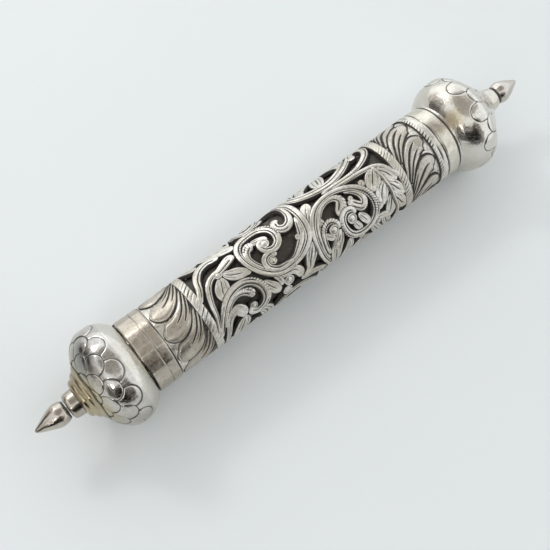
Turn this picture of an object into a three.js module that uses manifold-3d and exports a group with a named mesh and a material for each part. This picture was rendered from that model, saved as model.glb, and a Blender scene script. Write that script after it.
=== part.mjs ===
// A needle case: a pierced scrollwork tube round a plain needle tube, with a
// fixed bulb on its foot and a pull-off bulb cap. Millimetres, +Z up, axis along X.
import * as THREE from 'three';
import { mergeVertices } from 'three/addons/utils/BufferGeometryUtils.js';
import Module from 'manifold-3d';

const wasm = await Module();
wasm.setup();

// ---- driving dimensions ----
const AXIS_HEIGHT = 12.2;        // the bulbs' widest radius, which rests on the table
const GAP = 0.3;                 // left between pieces that touch
const TUBE_R = 9;                // outside of the pierced tube
const TUBE_WALL = 0.9;
const LINER_R = 7.7;             // outside of the needle tube
const LINER_BORE = 7.15;
const SLEEVE_R = 6.5;            // the cap's sleeve slides inside the needle tube
const SLEEVE_BORE = 5.95;
const STUD_R = 0.9;
const STUD_HOLE_R = 1.2;
const SHELL = 0.7;               // sheet thickness of the bulbs
const FACETS = 30;               // round the large pieces, with one facet straight down
const FINE_FACETS = 20;          // round the finials
const STUD_FACETS = 12;

// stations along the axis
const MOUTH_X = -44.9;           // open end of the tube, under the cap
const TONGUES_X = -38.7;         // end of the plain mouth ferrule
const WINDOW_X = [-27.4, 25.8];  // the pierced length
const SEAM_X = 39.65;            // start of the foot ferrule
const FOOT_X = 43.4;             // start of the foot bulb
const SLEEVE_END_X = -31;        // the sleeve's free end, inside the needle tube
const CAP_JOINT_X = -48.3;       // between the cap's dome and its base shell
const CAP_SEAT_X = -56.9;        // between the cap's dome and its finial seat
const FOOT_TIP_X = 70.9;
const CAP_TIP_X = -70.9;

// ---- pierced scrollwork, drawn flat: [along the axis, round the tube, width] ----
// The drawing covers half the tube's round and is used twice.
const REPEAT = Math.PI * TUBE_R; // half the round
const DRAWING_ANGLE = THREE.MathUtils.degToRad(108.7); // where the drawing's zero line lies
const JOIN_WIDTH = 0.5;          // added to every width, so that neighbours join
const LEAST_WIDTH = 0.9;
const END_NARROWING = 0.6;
const STEP_LENGTH = 5;           // longest straight stretch of a stem
const STEP_TURN = THREE.MathUtils.degToRad(42);

// Middle lines of the stems and of the leaves.
const STEMS = {
  arch: [
    [-28, -1, 1], [-26.5, -3.5, 1.3], [-25.4, -6.2, 1.6], [-23.6, -8.4, 1.8], [-21.2, -9.3, 2],
    [-19.3, -8.8, 2.1], [-18.6, -7.7, 1.5],
  ],
  flower_stem: [
    [-27.9, 7.2, 0.8], [-26.75, 3.4, 0.8], [-26.1, 0.4, 1], [-25, -2.2, 1.15], [-23.6, -3.8, 1.2],
    [-22, -4.5, 1.2], [-20.4, -4.6, 1.5], [-18.6, -5.2, 1.9], [-16.9, -5.7, 2], [-15.6, -5.4, 1.4],
  ],
  s2_outer: [
    [-28, 9, 0.9], [-26.6, 6.2, 1], [-25.3, 4, 1.2], [-23.3, 1.9, 1.5], [-21, 0.8, 1.6],
    [-18.4, 0.6, 1.6], [-16.3, 1.4, 1.7], [-14.9, 3.1, 1.9], [-14.4, 5.2, 2], [-14.9, 7.1, 1.9],
    [-16.3, 8.4, 1.7], [-18, 8.6, 1.5], [-19.3, 7.7, 1.3], [-19.4, 6.5, 1.1],
  ],
  s2_inner: [
    [-26, 7.2, 0.6], [-24.7, 4.9, 0.9], [-22.8, 2.9, 1], [-20.6, 2.1, 1.1], [-18.7, 2.5, 1.5],
    [-17.6, 3.5, 2], [-17.7, 4.6, 1.4],
  ],
  s3_outer: [
    [-1.6, -14.4, 1], [0.2, -11.4, 1.1], [1.3, -8.6, 1.3], [1.65, -6, 1.5], [1.6, -3.6, 1.5],
    [1.25, -1.3, 1.5], [0.3, 0.9, 1.5], [-1.5, 2.5, 1.3], [-3.8, 3.6, 1.1], [-7, 4.1, 1.1],
    [-9.6, 3.7, 1.2], [-12, 2.2, 1.3], [-13.8, 0, 1.2], [-14.8, -2.7, 1.2], [-14.6, -5.5, 1.4],
    [-13, -7.6, 1.7], [-10.5, -8.2, 1.8], [-7.9, -8, 1.9], [-6, -6.5, 1.8], [-5.3, -4.4, 1.7],
    [-5.9, -2.4, 1.6], [-7.5, -1.5, 1.5], [-9.2, -1.9, 1.3], [-10, -3.2, 1.1], [-9.6, -4.3, 1.1],
    [-8.6, -4.6, 0.9],
  ],
  s3_bud: [
    [-6, 3, 0.6], [-8, 2.8, 0.9], [-9.8, 2.1, 1], [-10.7, 1, 1.2],
  ],
  s3_curl: [
    [-1.1, -13.6, 0.7], [-0.1, -10.6, 0.9], [0, -7.8, 0.9], [-0.2, -5.7, 1.1], [-1.3, -4.2, 1.4],
    [-2.9, -3.9, 1.5], [-4, -5, 1.4], [-3.7, -6.4, 1.3], [-2.7, -6.6, 0.9],
  ],
  s8_outer: [
    [2.5, -17.6, 1.1], [1.7, -15.2, 1.1], [1.6, -12.8, 1.1], [2.4, -10.4, 1.1], [4.1, -8.5, 1.15],
    [6.6, -7.2, 1.1], [9.6, -6.4, 1.1], [12.6, -6.25, 1.1], [15.6, -6.9, 1.15], [18.2, -8.2, 1.2],
    [20.3, -10, 1.2], [21.7, -12.3, 1.2], [22.3, -15, 1.2], [22.9, -17.6, 1.1],
  ],
  s9: [
    [9, -5.2, 0.5], [12, -5.2, 0.8], [15.5, -5, 0.9], [18.8, -5.2, 1], [21.4, -6, 1.2],
    [23.5, -7.3, 1.4], [24.6, -9.2, 1.5], [24.3, -11.2, 1.4], [22.9, -11.9, 1.3], [21.6, -11, 1.5],
    [21.1, -9.6, 2], [21.4, -8.4, 1.6],
  ],
  s9_low: [
    [11.5, -4.6, 0.5], [14, -4.4, 0.8], [17, -4.2, 0.9], [20, -3.9, 1], [22.6, -3.3, 1.1],
    [24.3, -2, 1.2], [25.3, 0, 1.2], [26.6, 2, 1.2],
  ],
  s7_outer: [
    [2.7, 12.4, 1], [2.2, 10.2, 1.1], [1.3, 7.8, 1.1], [0.9, 5, 1.15], [1.3, 2.2, 1.2],
    [2.7, -0.7, 1.3], [5.1, -3, 1.25], [8, -4, 1.15], [11, -4, 1.15], [14, -3, 1.25],
    [16.4, -1.2, 1.4], [17.8, 1.2, 1.5], [18, 3.8, 1.6], [17.1, 6.2, 1.8], [15.3, 7.9, 1.9],
    [12.9, 8.5, 1.8], [10.7, 7.9, 1.7], [9.2, 6.2, 1.6], [8.7, 4, 1.5], [9.3, 2.2, 1.5],
    [10.7, 1.3, 1.4], [12.1, 1.7, 1.3], [12.6, 3, 1.2],
  ],
  s7_inner: [
    [2.9, 9.4, 0.4], [2.2, 7.2, 0.7], [2.2, 4.6, 0.8], [2.8, 2, 0.8], [4.2, -0.4, 0.9],
    [6.2, -2.2, 0.9], [8.4, -3, 0.9], [10.2, -2.8, 1.3], [11.2, -1.7, 1.9], [10.8, -0.4, 2.4],
    [9.7, 0.7, 2.2], [8.8, 1.5, 1.2],
  ],
  s7_curl: [
    [13, -2.6, 0.5], [14.6, -1.6, 0.9], [15.8, 0, 1.2], [16, 1.6, 1.5], [15, 2.6, 1.9],
    [13.9, 1.8, 2], [13, 0.6, 1.8], [12.3, -0.1, 0.9],
  ],
  s10: [
    [3.2, 8, 0.7], [2.95, 5.6, 0.9], [3.3, 3.3, 1], [4.5, 1.6, 1.15], [6.2, 1.1, 1.3],
    [7.5, 2.2, 1.2], [7.6, 3.7, 0.9],
  ],
  s11: [
    [-0.6, 15.8, 0.8], [-2, 13.6, 1.2], [-3.9, 11.7, 1.3], [-6.2, 10.9, 1.4], [-9.2, 11, 1.4],
    [-11.6, 12.4, 1.5], [-12.3, 14.8, 1.5], [-11.2, 17.2, 1.5], [-9, 18.1, 1.5], [-6.8, 17.2, 1.4],
    [-6, 15.3, 1.3], [-7, 13.8, 1.2], [-8.4, 13.7, 1],
  ],
  vein: [
    [22.2, -3.4, 0.7], [22.7, -0.6, 0.7], [22.9, 2.4, 0.7], [22.9, 5.4, 0.7], [23.2, 8.4, 0.7],
    [22.9, 11.4, 0.9],
  ],
};

const LEAVES = {
  arch_leaf: [
    [-19.4, -10, 0.8], [-17.6, -9.4, 1.7], [-15.8, -8.6, 1.7], [-14, -7.9, 1.1],
  ],
  petal: [
    [-20.3, -3.7, 0.8], [-19, -2.4, 2], [-17.4, -1.6, 2.3], [-15.9, -0.9, 1.4], [-14.9, -0.2, 0.6],
  ],
  round_leaf: [
    [-21.1, -3.4, 0.9], [-21.7, -1.9, 2.4], [-22.4, -0.5, 3], [-23, 0.9, 2.4], [-23.3, 1.8, 1.4],
  ],
  s2_bud: [
    [-27, 13, 0.8], [-26, 9.5, 0.9], [-25, 6.8, 1], [-23.6, 5.2, 1.3], [-22, 5, 2],
    [-21.2, 6.2, 2.4], [-21.3, 7.6, 1.6],
  ],
  low_leaf: [
    [-20.8, 7.6, 1.2], [-21.6, 9.4, 3], [-22.6, 11.6, 3.6], [-23.3, 14, 3], [-24.2, 16.6, 1.4],
  ],
  low_leaf2: [
    [-17.4, 9, 0.9], [-16, 10.4, 2.6], [-15.4, 12.2, 3], [-15.8, 14.6, 2.4], [-17, 18, 1.2],
  ],
  hatched: [
    [-14, 3, 0.8], [-13.2, 4.6, 1.7], [-12.2, 6.2, 2.2], [-11.2, 7.9, 1.6],
  ],
  hood: [
    [-10, 4.6, 0.9], [-8, 4.9, 1.1], [-6.4, 5.3, 1.6], [-5.4, 6.6, 1.9], [-5.6, 8.2, 1.2],
  ],
  tri: [
    [0.4, 2.4, 0.9], [-0.8, 4.2, 2.4], [-1.9, 5.8, 2.2], [-2.9, 7.8, 1.4], [-4.6, 9, 1],
  ],
  low_mid: [
    [-5.6, 8.8, 1.2], [-3.6, 9.4, 1.5], [-1.6, 9.8, 1.5], [0.2, 10.8, 1.4], [1.9, 12.8, 1.2],
  ],
  bud: [
    [1.9, -1.6, 1], [3.1, -3.6, 1.9], [4.1, -4.9, 2], [4.8, -5.8, 1.3],
  ],
  palm_c: [
    [10.2, -7.2, 1.6], [10.8, -9.4, 3], [11.6, -12, 3], [12.2, -14.8, 2.4], [12.4, -17.6, 1.4],
    [12.6, -20.2, 1],
  ],
  palm_l: [
    [12, -17.6, 1], [10, -15.2, 1.8], [7.6, -12.6, 2.4], [6.2, -10.6, 2], [6.3, -8.8, 0.9],
  ],
  palm_r: [
    [12.8, -17.6, 1], [14.6, -15.2, 1.8], [16.8, -12.8, 2.3], [17.6, -11, 1.8], [17.2, -9.2, 0.9],
  ],
  bead_leaf: [
    [7.6, 3.9, 0.9], [6.3, 6.2, 2.2], [5.3, 7.6, 2.8], [4.7, 9.6, 2.6], [4.5, 12, 2],
    [3.7, 14.8, 1.2], [2.4, 17, 0.9],
  ],
  low_r1: [
    [9, 7.6, 0.9], [8.6, 10, 2], [7.6, 12.2, 2.2], [6.6, 15.2, 1.2],
  ],
  low_r2: [
    [15.6, 8.4, 1], [16.4, 10.6, 2], [17.4, 12.8, 2.2], [17.8, 15.6, 1.6],
  ],
  low_r3: [
    [19, 7.6, 1], [19.6, 10.2, 2], [20.4, 12.6, 2], [21.8, 15.2, 1.2],
  ],
  lobe_l1: [
    [22.3, -3, 1.2], [21, -1.4, 2.6], [19.8, 0, 2.4], [18.7, 1.4, 1],
  ],
  lobe_l2: [
    [22.7, 0.8, 1], [21.2, 2.2, 2.2], [20.1, 3.8, 2.2], [19.5, 5.6, 1.2],
  ],
  lobe_l3: [
    [22.9, 4.4, 1], [21.9, 6.4, 1.9], [21.2, 8.4, 2], [20.3, 10.4, 1.2],
  ],
  lobe_r1: [
    [22.6, -2.4, 1], [24, -0.8, 2.2], [24.7, 0.8, 2], [25.3, 2.4, 1.1],
  ],
  lobe_r2: [
    [22.9, 1.4, 0.9], [24, 3, 1.8], [24.9, 4.6, 1.8], [26.4, 6.2, 1.2],
  ],
  lobe_r3: [
    [23, 5, 0.9], [24, 6.8, 1.9], [24.8, 8.6, 2], [26.4, 10.4, 1.2],
  ],
  corner: [
    [-28.2, -14, 1], [-26.4, -12.6, 1.6], [-24.8, -11, 1.6], [-23.2, -9.9, 1],
  ],
};

// Round bosses: [along the axis, round the tube, radius]
const BOSSES = [
  [-18.4, 6.6, 1], [-8.7, -3.7, 1.15], [-9.3, 0.35, 1.6], [-8.5, 6.8, 1.3], [-9.6, 9.2, 1.3],
  [11.2, 3.6, 1.25], [6.1, 3.3, 1.25], [-8.7, 15, 1.4],
];
const BOSS_SIDES = 8;
const INNER_REACH = 7.4;        // strips stand from here
const OUTER_REACH = 9.8;        // to here before the tube's wall trims them

// ---- solids and meshes ----
// A closed geometry, its vertices merged, as a solid that can be joined or cut.
function solidOf(geometry) {
  geometry.deleteAttribute('normal');
  geometry.deleteAttribute('uv');
  const merged = mergeVertices(geometry, 1e-5);
  const vertProperties = Float32Array.from(merged.attributes.position.array);
  const triVerts = Uint32Array.from(merged.index.array);
  return new wasm.Manifold(new wasm.Mesh({ numProp: 3, vertProperties, triVerts }));
}

function geometryOf(solid) {
  const { numProp, vertProperties, triVerts } = solid.getMesh();
  const geometry = new THREE.BufferGeometry();
  const positions = new Float32Array((vertProperties.length / numProp) * 3);
  for (let i = 0; i < positions.length / 3; i += 1) {
    for (let k = 0; k < 3; k += 1) {
      positions[i * 3 + k] = vertProperties[i * numProp + k];
    }
  }
  geometry.setAttribute('position', new THREE.BufferAttribute(positions, 3));
  geometry.setIndex(new THREE.BufferAttribute(Uint32Array.from(triVerts), 1));
  geometry.computeVertexNormals();
  return geometry;
}

// A solid or ring turned about the X axis; the profile lists [x, radius].
function turned(profile, facets = FACETS) {
  const outline = profile.map(([x, radius]) => new THREE.Vector2(radius, x));
  const [first, last] = [profile[0], profile[profile.length - 1]];
  const endsOnAxis = first[1] === 0 && last[1] === 0;
  if (!endsOnAxis) {
    outline.push(outline[0].clone());
  }
  const halfFacet = Math.PI / facets;
  const geometry = new THREE.LatheGeometry(outline, facets, halfFacet);
  geometry.rotateZ(-Math.PI / 2);
  return facingOut(geometry);
}

function signedVolume(geometry) {
  const { position } = geometry.attributes;
  const corners = [0, 1, 2].map(() => new THREE.Vector3());
  let volume = 0;
  for (let i = 0; i < geometry.index.count; i += 3) {
    corners.forEach((corner, k) => corner.fromBufferAttribute(position, geometry.index.getX(i + k)));
    volume += corners[0].dot(corners[1].clone().cross(corners[2])) / 6;
  }
  return volume;
}

// The same geometry with its triangles turned over where they face inward.
function facingOut(geometry) {
  if (signedVolume(geometry) < 0) {
    const index = geometry.index.array;
    for (let i = 0; i < index.length; i += 3) {
      [index[i], index[i + 1]] = [index[i + 1], index[i]];
    }
  }
  return geometry;
}

function ring(x0, x1, outside, inside) {
  return turned([[x0, inside], [x0, outside], [x1, outside], [x1, inside]]);
}

function disc(x0, x1, radius, facets = FACETS) {
  return turned([[x0, 0], [x0, radius], [x1, radius], [x1, 0]], facets);
}

// ---- scrollwork ----
// A point of the flat drawing, wrapped on the tube at a radius.
function wrapped(u, v, radius, shift) {
  const angle = DRAWING_ANGLE + (v + shift) / TUBE_R;
  return [u, radius * Math.cos(angle), radius * Math.sin(angle)];
}

// Middle-line samples {u, v, width, side}: close together only where the line turns.
function middleLine(points) {
  const curve = new THREE.CatmullRomCurve3(
    points.map(([u, v, width]) => new THREE.Vector3(u, v, width)), false, 'catmullrom', 0.5);
  const count = points.length * 12;
  const samples = [];
  let lastDirection = null;
  let lastPoint = null;
  for (let i = 0; i <= count; i += 1) {
    const point = curve.getPoint(i / count);
    const tangent = curve.getTangent(i / count);
    const direction = Math.atan2(tangent.y, tangent.x);
    let turn = lastDirection === null ? Infinity : Math.abs(direction - lastDirection);
    turn = turn === Infinity ? turn : Math.min(turn, 2 * Math.PI - turn);
    const step = lastPoint === null ? Infinity : Math.hypot(point.x - lastPoint.x, point.y - lastPoint.y);
    if (turn > STEP_TURN || step > STEP_LENGTH || i === count) {
      samples.push({
        u: point.x,
        v: point.y,
        width: Math.max(point.z + JOIN_WIDTH, LEAST_WIDTH),
        side: [-Math.sin(direction), Math.cos(direction)],
      });
      lastDirection = direction;
      lastPoint = point;
    }
  }
  samples[0].width *= END_NARROWING;
  samples[samples.length - 1].width *= END_NARROWING;
  return samples;
}

// A strip that stands right through the tube's wall: four corners across, both ends closed.
function strip(points, shift) {
  const section = [[-0.5, INNER_REACH], [-0.5, OUTER_REACH], [0.5, OUTER_REACH], [0.5, INNER_REACH]];
  const samples = middleLine(points);
  const positions = samples.flatMap(({ u, v, width, side }) => section.flatMap(([across, radius]) => (
    wrapped(u + side[0] * across * width, v + side[1] * across * width, radius, shift))));
  const index = [];
  const corners = section.length;
  for (let s = 0; s + 1 < samples.length; s += 1) {
    for (let k = 0; k < corners; k += 1) {
      const a = s * corners + k;
      const b = s * corners + ((k + 1) % corners);
      index.push(a, b, b + corners, a, b + corners, a + corners);
    }
  }
  const end = (samples.length - 1) * corners;
  for (let k = 1; k + 1 < corners; k += 1) {
    index.push(0, k + 1, k, end, end + k, end + k + 1);
  }
  return closedGeometry(positions, index);
}

// A round boss, likewise standing through the wall.
function boss(u, v, radius, shift) {
  const positions = [INNER_REACH, OUTER_REACH].flatMap((height) => (
    Array.from({ length: BOSS_SIDES }, (_, i) => {
      const turn = (i / BOSS_SIDES) * 2 * Math.PI;
      return wrapped(u + radius * Math.cos(turn), v + radius * Math.sin(turn), height, shift);
    }).flat()));
  const index = [];
  for (let i = 0; i < BOSS_SIDES; i += 1) {
    const next = (i + 1) % BOSS_SIDES;
    index.push(i, next, next + BOSS_SIDES, i, next + BOSS_SIDES, i + BOSS_SIDES);
  }
  for (let i = 1; i + 1 < BOSS_SIDES; i += 1) {
    index.push(0, i + 1, i, BOSS_SIDES, BOSS_SIDES + i, BOSS_SIDES + i + 1);
  }
  return closedGeometry(positions, index);
}

function closedGeometry(positions, index) {
  const geometry = new THREE.BufferGeometry();
  geometry.setAttribute('position', new THREE.Float32BufferAttribute(positions, 3));
  geometry.setIndex(new THREE.BufferAttribute(Uint32Array.from(index), 1));
  return facingOut(geometry);
}

// The part of a tube's wall that a set of strips and bosses covers.
function covered(shapes, outside, inside) {
  let cover = null;
  for (const geometry of shapes) {
    const solid = solidOf(geometry);
    cover = cover === null ? solid : cover.add(solid);
  }
  return solidOf(ring(WINDOW_X[0] - GAP, WINDOW_X[1] + GAP, outside, inside)).intersect(cover);
}

function openworkBarrel() {
  const bore = TUBE_R - TUBE_WALL;
  let barrel = solidOf(ring(TONGUES_X, WINDOW_X[0], TUBE_R, bore));
  barrel = barrel.add(solidOf(ring(WINDOW_X[1], SEAM_X - GAP, TUBE_R, bore)));
  const shifts = [0, REPEAT];
  const drawn = (drawing) => shifts.flatMap((shift) => (
    Object.values(drawing).map((points) => strip(points, shift))));
  const bosses = shifts.flatMap((shift) => BOSSES.map(([u, v, radius]) => boss(u, v, radius, shift)));
  barrel = barrel.add(covered([...drawn(STEMS), ...drawn(LEAVES), ...bosses], TUBE_R, bore));
  return geometryOf(barrel);
}

// ---- bulbs ----
// A bulb's outline is a quarter ellipse on each side of a short flat land at its widest.
// The reaches are the ellipses' lengths before and after the land. The inside of the sheet
// is the same outline, inset.
const CAP_BULB = { centre: -50.8, land: 1.2, reaches: [6.9, 7.4] };
const FOOT_BULB = { centre: 50.3, land: 1.2, reaches: [8.4, 5.6] };

function bulbReach({ reaches }, side, inset) {
  return reaches[side < 0 ? 0 : 1] - inset;
}

// Angle on the ellipse at a station: 0 on the land, negative before it, positive after.
function bulbAngle(bulb, x, inset) {
  const side = Math.sign(x - bulb.centre);
  const beyondLand = Math.max(0, Math.abs(x - bulb.centre) - bulb.land / 2);
  return side * Math.asin(Math.min(1, beyondLand / bulbReach(bulb, side, inset)));
}

// Outline points between two stations, x rising.
function bulbArc(bulb, x0, x1, inset, steps) {
  const from = bulbAngle(bulb, x0, inset);
  const to = bulbAngle(bulb, x1, inset);
  const points = [];
  for (const [start, end, side] of [[from, Math.min(to, 0), -1], [Math.max(from, 0), to, 1]]) {
    if (start <= end && (start !== end || start === 0)) {
      const count = Math.max(1, Math.round((steps * (end - start)) / (to - from)));
      for (let i = 0; i <= count; i += 1) {
        const angle = start + ((end - start) * i) / count;
        points.push([
          bulb.centre + (side * bulb.land) / 2 + bulbReach(bulb, side, inset) * Math.sin(angle),
          (AXIS_HEIGHT - inset) * Math.cos(angle),
        ]);
      }
    }
  }
  return points;
}

// ---- the pieces ----
function needleTube() {
  return ring(MOUTH_X + GAP, FOOT_X - GAP, LINER_R, LINER_BORE);
}

function needleTubeEnd() {
  const back = FOOT_X - 2 * GAP;
  return disc(back - 0.8, back, LINER_BORE - GAP);
}

// The mouth ferrule has an engraved line that splits it into a wide and a narrow band.
function mouthFerrule() {
  const line = -41.2;
  const end = TONGUES_X - GAP;
  const bore = LINER_R + GAP;
  return turned([
    [MOUTH_X, bore], [MOUTH_X, TUBE_R], [line - 0.15, TUBE_R], [line, TUBE_R - 0.15],
    [line + 0.15, TUBE_R], [end, TUBE_R], [end, bore],
  ]);
}

function footFerrule() {
  return ring(SEAM_X, FOOT_X - GAP, TUBE_R, LINER_R + GAP);
}

// Past its shoulder the foot bulb is a cone that narrows to the finial's collar.
function footBulb() {
  const end = 60.1;
  const endRadius = 3.4;
  const neck = 44;               // where the bulb's curve meets the ferrule's radius
  const shoulder = 53.45;        // where the cone starts
  const outside = bulbArc(FOOT_BULB, neck, shoulder, 0, 9);
  const inside = bulbArc(FOOT_BULB, neck + SHELL, shoulder - SHELL / 2, SHELL, 6).reverse();
  return turned([
    [FOOT_X, TUBE_R - SHELL], [FOOT_X, TUBE_R], ...outside, [end, endRadius],
    [end, STUD_HOLE_R], [end - SHELL, STUD_HOLE_R], [end - SHELL, endRadius - SHELL / 3], ...inside,
  ]);
}

function capDome() {
  const end = CAP_JOINT_X - GAP / 2;
  const outside = bulbArc(CAP_BULB, CAP_SEAT_X, end, 0, 9);
  const inside = bulbArc(CAP_BULB, CAP_SEAT_X, end, SHELL, 6).reverse();
  return turned([...outside, ...inside]);
}

// A bowl whose flat end, pierced for the sleeve, faces the tube's mouth.
function capBaseShell() {
  const start = CAP_JOINT_X + GAP / 2;
  const end = MOUTH_X - GAP;
  const hole = SLEEVE_R + GAP;
  const outside = bulbArc(CAP_BULB, start, end, 0, 4);
  const inside = bulbArc(CAP_BULB, start, end - SHELL, SHELL, 3).reverse();
  return turned([...outside, [end, hole], [end - SHELL, hole], ...inside]);
}

// The sleeve's flange lies behind the base shell's flat end.
function capSleeve() {
  const flangeBack = MOUTH_X - 2 * GAP - 2 * SHELL;
  const flangeFront = flangeBack + SHELL;
  const flangeRadius = 8;
  return turned([
    [flangeBack, SLEEVE_BORE], [flangeBack, flangeRadius], [flangeFront, flangeRadius],
    [flangeFront, SLEEVE_R], [SLEEVE_END_X, SLEEVE_R], [SLEEVE_END_X, SLEEVE_BORE],
  ]);
}

function capSleeveEnd() {
  const back = MOUTH_X - 2 * GAP - 2 * SHELL;
  return disc(back, back + 0.8, SLEEVE_BORE - GAP);
}

// Stepped rings between the dome and the finial.
function capFinialSeat() {
  const back = CAP_SEAT_X - GAP;
  const front = -59.9;
  return turned([
    [front, STUD_HOLE_R], [front, 3.5], [-59.7, 4.2], [-59.4, 4.6], [-59, 4.6],
    [-58.7, 5.1], [-58.3, 5.5], [-57.9, 5.5], [-57.6, 6.3], [back, 6.9], [back, STUD_HOLE_R],
  ]);
}

function capCollar() {
  return turned([
    [-62.7, STUD_HOLE_R], [-62.7, 2.2], [-62.3, 2.7], [-61.7, 3], [-61, 3.15], [-60.2, 3.2],
    [-60.2, STUD_HOLE_R],
  ], FINE_FACETS);
}

// A finial drop from its blunt base to its tip, with a blind hole for the stud.
function drop(outline, holeEnd) {
  const baseX = outline[outline.length - 1][0];
  return turned([...outline, [baseX, STUD_HOLE_R], [holeEnd, STUD_HOLE_R], [holeEnd, 0]], FINE_FACETS);
}

function capDrop() {
  const outline = [
    [CAP_TIP_X, 0], [CAP_TIP_X, 0.35], [-69.7, 1], [-67.7, 1.88], [-66.4, 2.42],
    [-65.3, 2.72], [-64.3, 2.65], [-63.4, 2.35], [-63, 2],
  ];
  return drop(outline, -65.5);
}

function footCollar() {
  return turned([
    [60.4, STUD_HOLE_R], [60.4, 3.2], [61.2, 3.05], [62.1, 2.85], [62.8, 2.6], [63.2, 2.2],
    [63.2, STUD_HOLE_R],
  ], FINE_FACETS);
}

function footDrop() {
  const outline = [
    [FOOT_TIP_X, 0], [FOOT_TIP_X, 0.35], [70.2, 0.78], [68.6, 1.6], [66.3, 2.35],
    [64.9, 2.68], [64, 2.5], [63.5, 2.1],
  ];
  return drop(outline, 66);
}

// A rivet that holds a finial: its head lies inside the bulb.
function stud(headX, tipX) {
  const outward = Math.sign(tipX - headX);
  const neckX = headX + outward * 0.8;
  return turned([
    [headX, 0], [headX, 2.4], [neckX, 2.4], [neckX, STUD_R], [tipX, STUD_R], [tipX, 0],
  ], STUD_FACETS);
}

// ---- materials ----
const SILVER = { color: 0xb9b6ac, metalness: 0.9 };
const FINISHES = {
  chased: { ...SILVER, roughness: 0.42 },
  polished: { ...SILVER, roughness: 0.2 },
  dark: { color: 0x2b2622, metalness: 0.5, roughness: 0.7 },
};

// ---- the assembly ----
const group = new THREE.Group();
const tubeGroup = new THREE.Group();
const capGroup = new THREE.Group();
group.add(tubeGroup, capGroup);
group.position.z = AXIS_HEIGHT * Math.cos(Math.PI / FACETS); // the lowest facets lie at z = 0

function addPiece(parent, name, geometry, finish) {
  const mesh = new THREE.Mesh(geometry, new THREE.MeshStandardMaterial(FINISHES[finish]));
  mesh.name = name;
  parent.add(mesh);
}

addPiece(tubeGroup, 'openwork_barrel', openworkBarrel(), 'chased');
addPiece(tubeGroup, 'needle_tube', needleTube(), 'dark');
addPiece(tubeGroup, 'needle_tube_end', needleTubeEnd(), 'dark');
addPiece(tubeGroup, 'mouth_ferrule', mouthFerrule(), 'polished');
addPiece(tubeGroup, 'foot_ferrule', footFerrule(), 'polished');
addPiece(tubeGroup, 'foot_bulb', footBulb(), 'polished');
addPiece(tubeGroup, 'foot_finial_collar', footCollar(), 'polished');
addPiece(tubeGroup, 'foot_finial_drop', footDrop(), 'polished');
addPiece(tubeGroup, 'foot_finial_stud', stud(58.2, 65.7), 'polished');

addPiece(capGroup, 'cap_dome', capDome(), 'chased');
addPiece(capGroup, 'cap_base_shell', capBaseShell(), 'polished');
addPiece(capGroup, 'cap_sleeve', capSleeve(), 'polished');
addPiece(capGroup, 'cap_sleeve_end', capSleeveEnd(), 'dark');
addPiece(capGroup, 'cap_finial_seat', capFinialSeat(), 'chased');
addPiece(capGroup, 'cap_finial_collar', capCollar(), 'polished');
addPiece(capGroup, 'cap_finial_drop', capDrop(), 'polished');
addPiece(capGroup, 'cap_finial_stud', stud(-56, -65.2), 'polished');

export default group;
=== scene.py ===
import math

import bpy
import numpy as np
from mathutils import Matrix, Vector


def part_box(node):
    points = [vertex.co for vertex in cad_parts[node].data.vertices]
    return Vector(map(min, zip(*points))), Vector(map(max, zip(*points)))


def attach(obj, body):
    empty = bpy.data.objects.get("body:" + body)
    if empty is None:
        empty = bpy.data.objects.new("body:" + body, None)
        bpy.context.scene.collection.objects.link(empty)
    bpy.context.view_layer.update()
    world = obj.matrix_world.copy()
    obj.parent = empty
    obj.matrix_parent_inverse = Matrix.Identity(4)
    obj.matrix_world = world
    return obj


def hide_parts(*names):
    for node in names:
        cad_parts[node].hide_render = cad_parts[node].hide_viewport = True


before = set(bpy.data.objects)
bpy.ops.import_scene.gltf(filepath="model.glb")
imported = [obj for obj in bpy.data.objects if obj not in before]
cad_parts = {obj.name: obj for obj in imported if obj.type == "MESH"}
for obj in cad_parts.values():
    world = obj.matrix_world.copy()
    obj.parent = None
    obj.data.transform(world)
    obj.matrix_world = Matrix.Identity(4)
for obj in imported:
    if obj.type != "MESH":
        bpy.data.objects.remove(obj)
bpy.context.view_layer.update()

MM = 0.001


# ---- places and sizes taken from the frame ----
def span(node):
    """First and last station of a CAD node along the case."""
    low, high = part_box(node)
    return low.x / MM, high.x / MM


def outer_radius(node):
    low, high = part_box(node)
    return (high.y - low.y) / 2 / MM


BARREL_START, BARREL_END = span("openwork_barrel")
MOUTH_START, MOUTH_END = span("mouth_ferrule")
FERRULE_START = span("foot_ferrule")[0]
FOOT_START, FOOT_END = span("foot_bulb")
DOME_START, DOME_END = span("cap_dome")
BASE_START, BASE_END = span("cap_base_shell")
LINER_START, LINER_END = span("needle_tube")
AXIS_Z = sum(corner.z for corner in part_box("openwork_barrel")) / 2 / MM
BULB_R = AXIS_Z - 0.02           # the widest line of each bulb all but touches the floor
TUBE_R = outer_radius("openwork_barrel")
LINER_R = outer_radius("needle_tube")

# ---- driving dimensions ----
TUBE_BORE = TUBE_R - 0.9
LINER_BORE = LINER_R - 0.55
SLEEVE_R = LINER_BORE - 0.65
SLEEVE_BORE = SLEEVE_R - 0.55
FERRULE_BORE = LINER_R + 0.3
SHELL_THICKNESS = 0.7
STUD_HOLE_R = 1.2
POLE_R = 0.02                    # what is left open at a pole, closed by a flat end
HALF_GAP = 0.15                  # CAD pieces that touch stand twice this apart

MOUTH_ROPE = (BARREL_START + 8.9, BARREL_START + 11.3)
FOOT_ROPE = (BARREL_END - 13.55, BARREL_END - 11.05)
HATCHED_BAND = (BARREL_END - 2.45, BARREL_END)
REPEAT = math.pi * TUBE_R        # the scrollwork drawing covers half the round
DRAWING_ANGLE = math.radians(108.7)  # where the drawing's zero line lies on the tube

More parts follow.
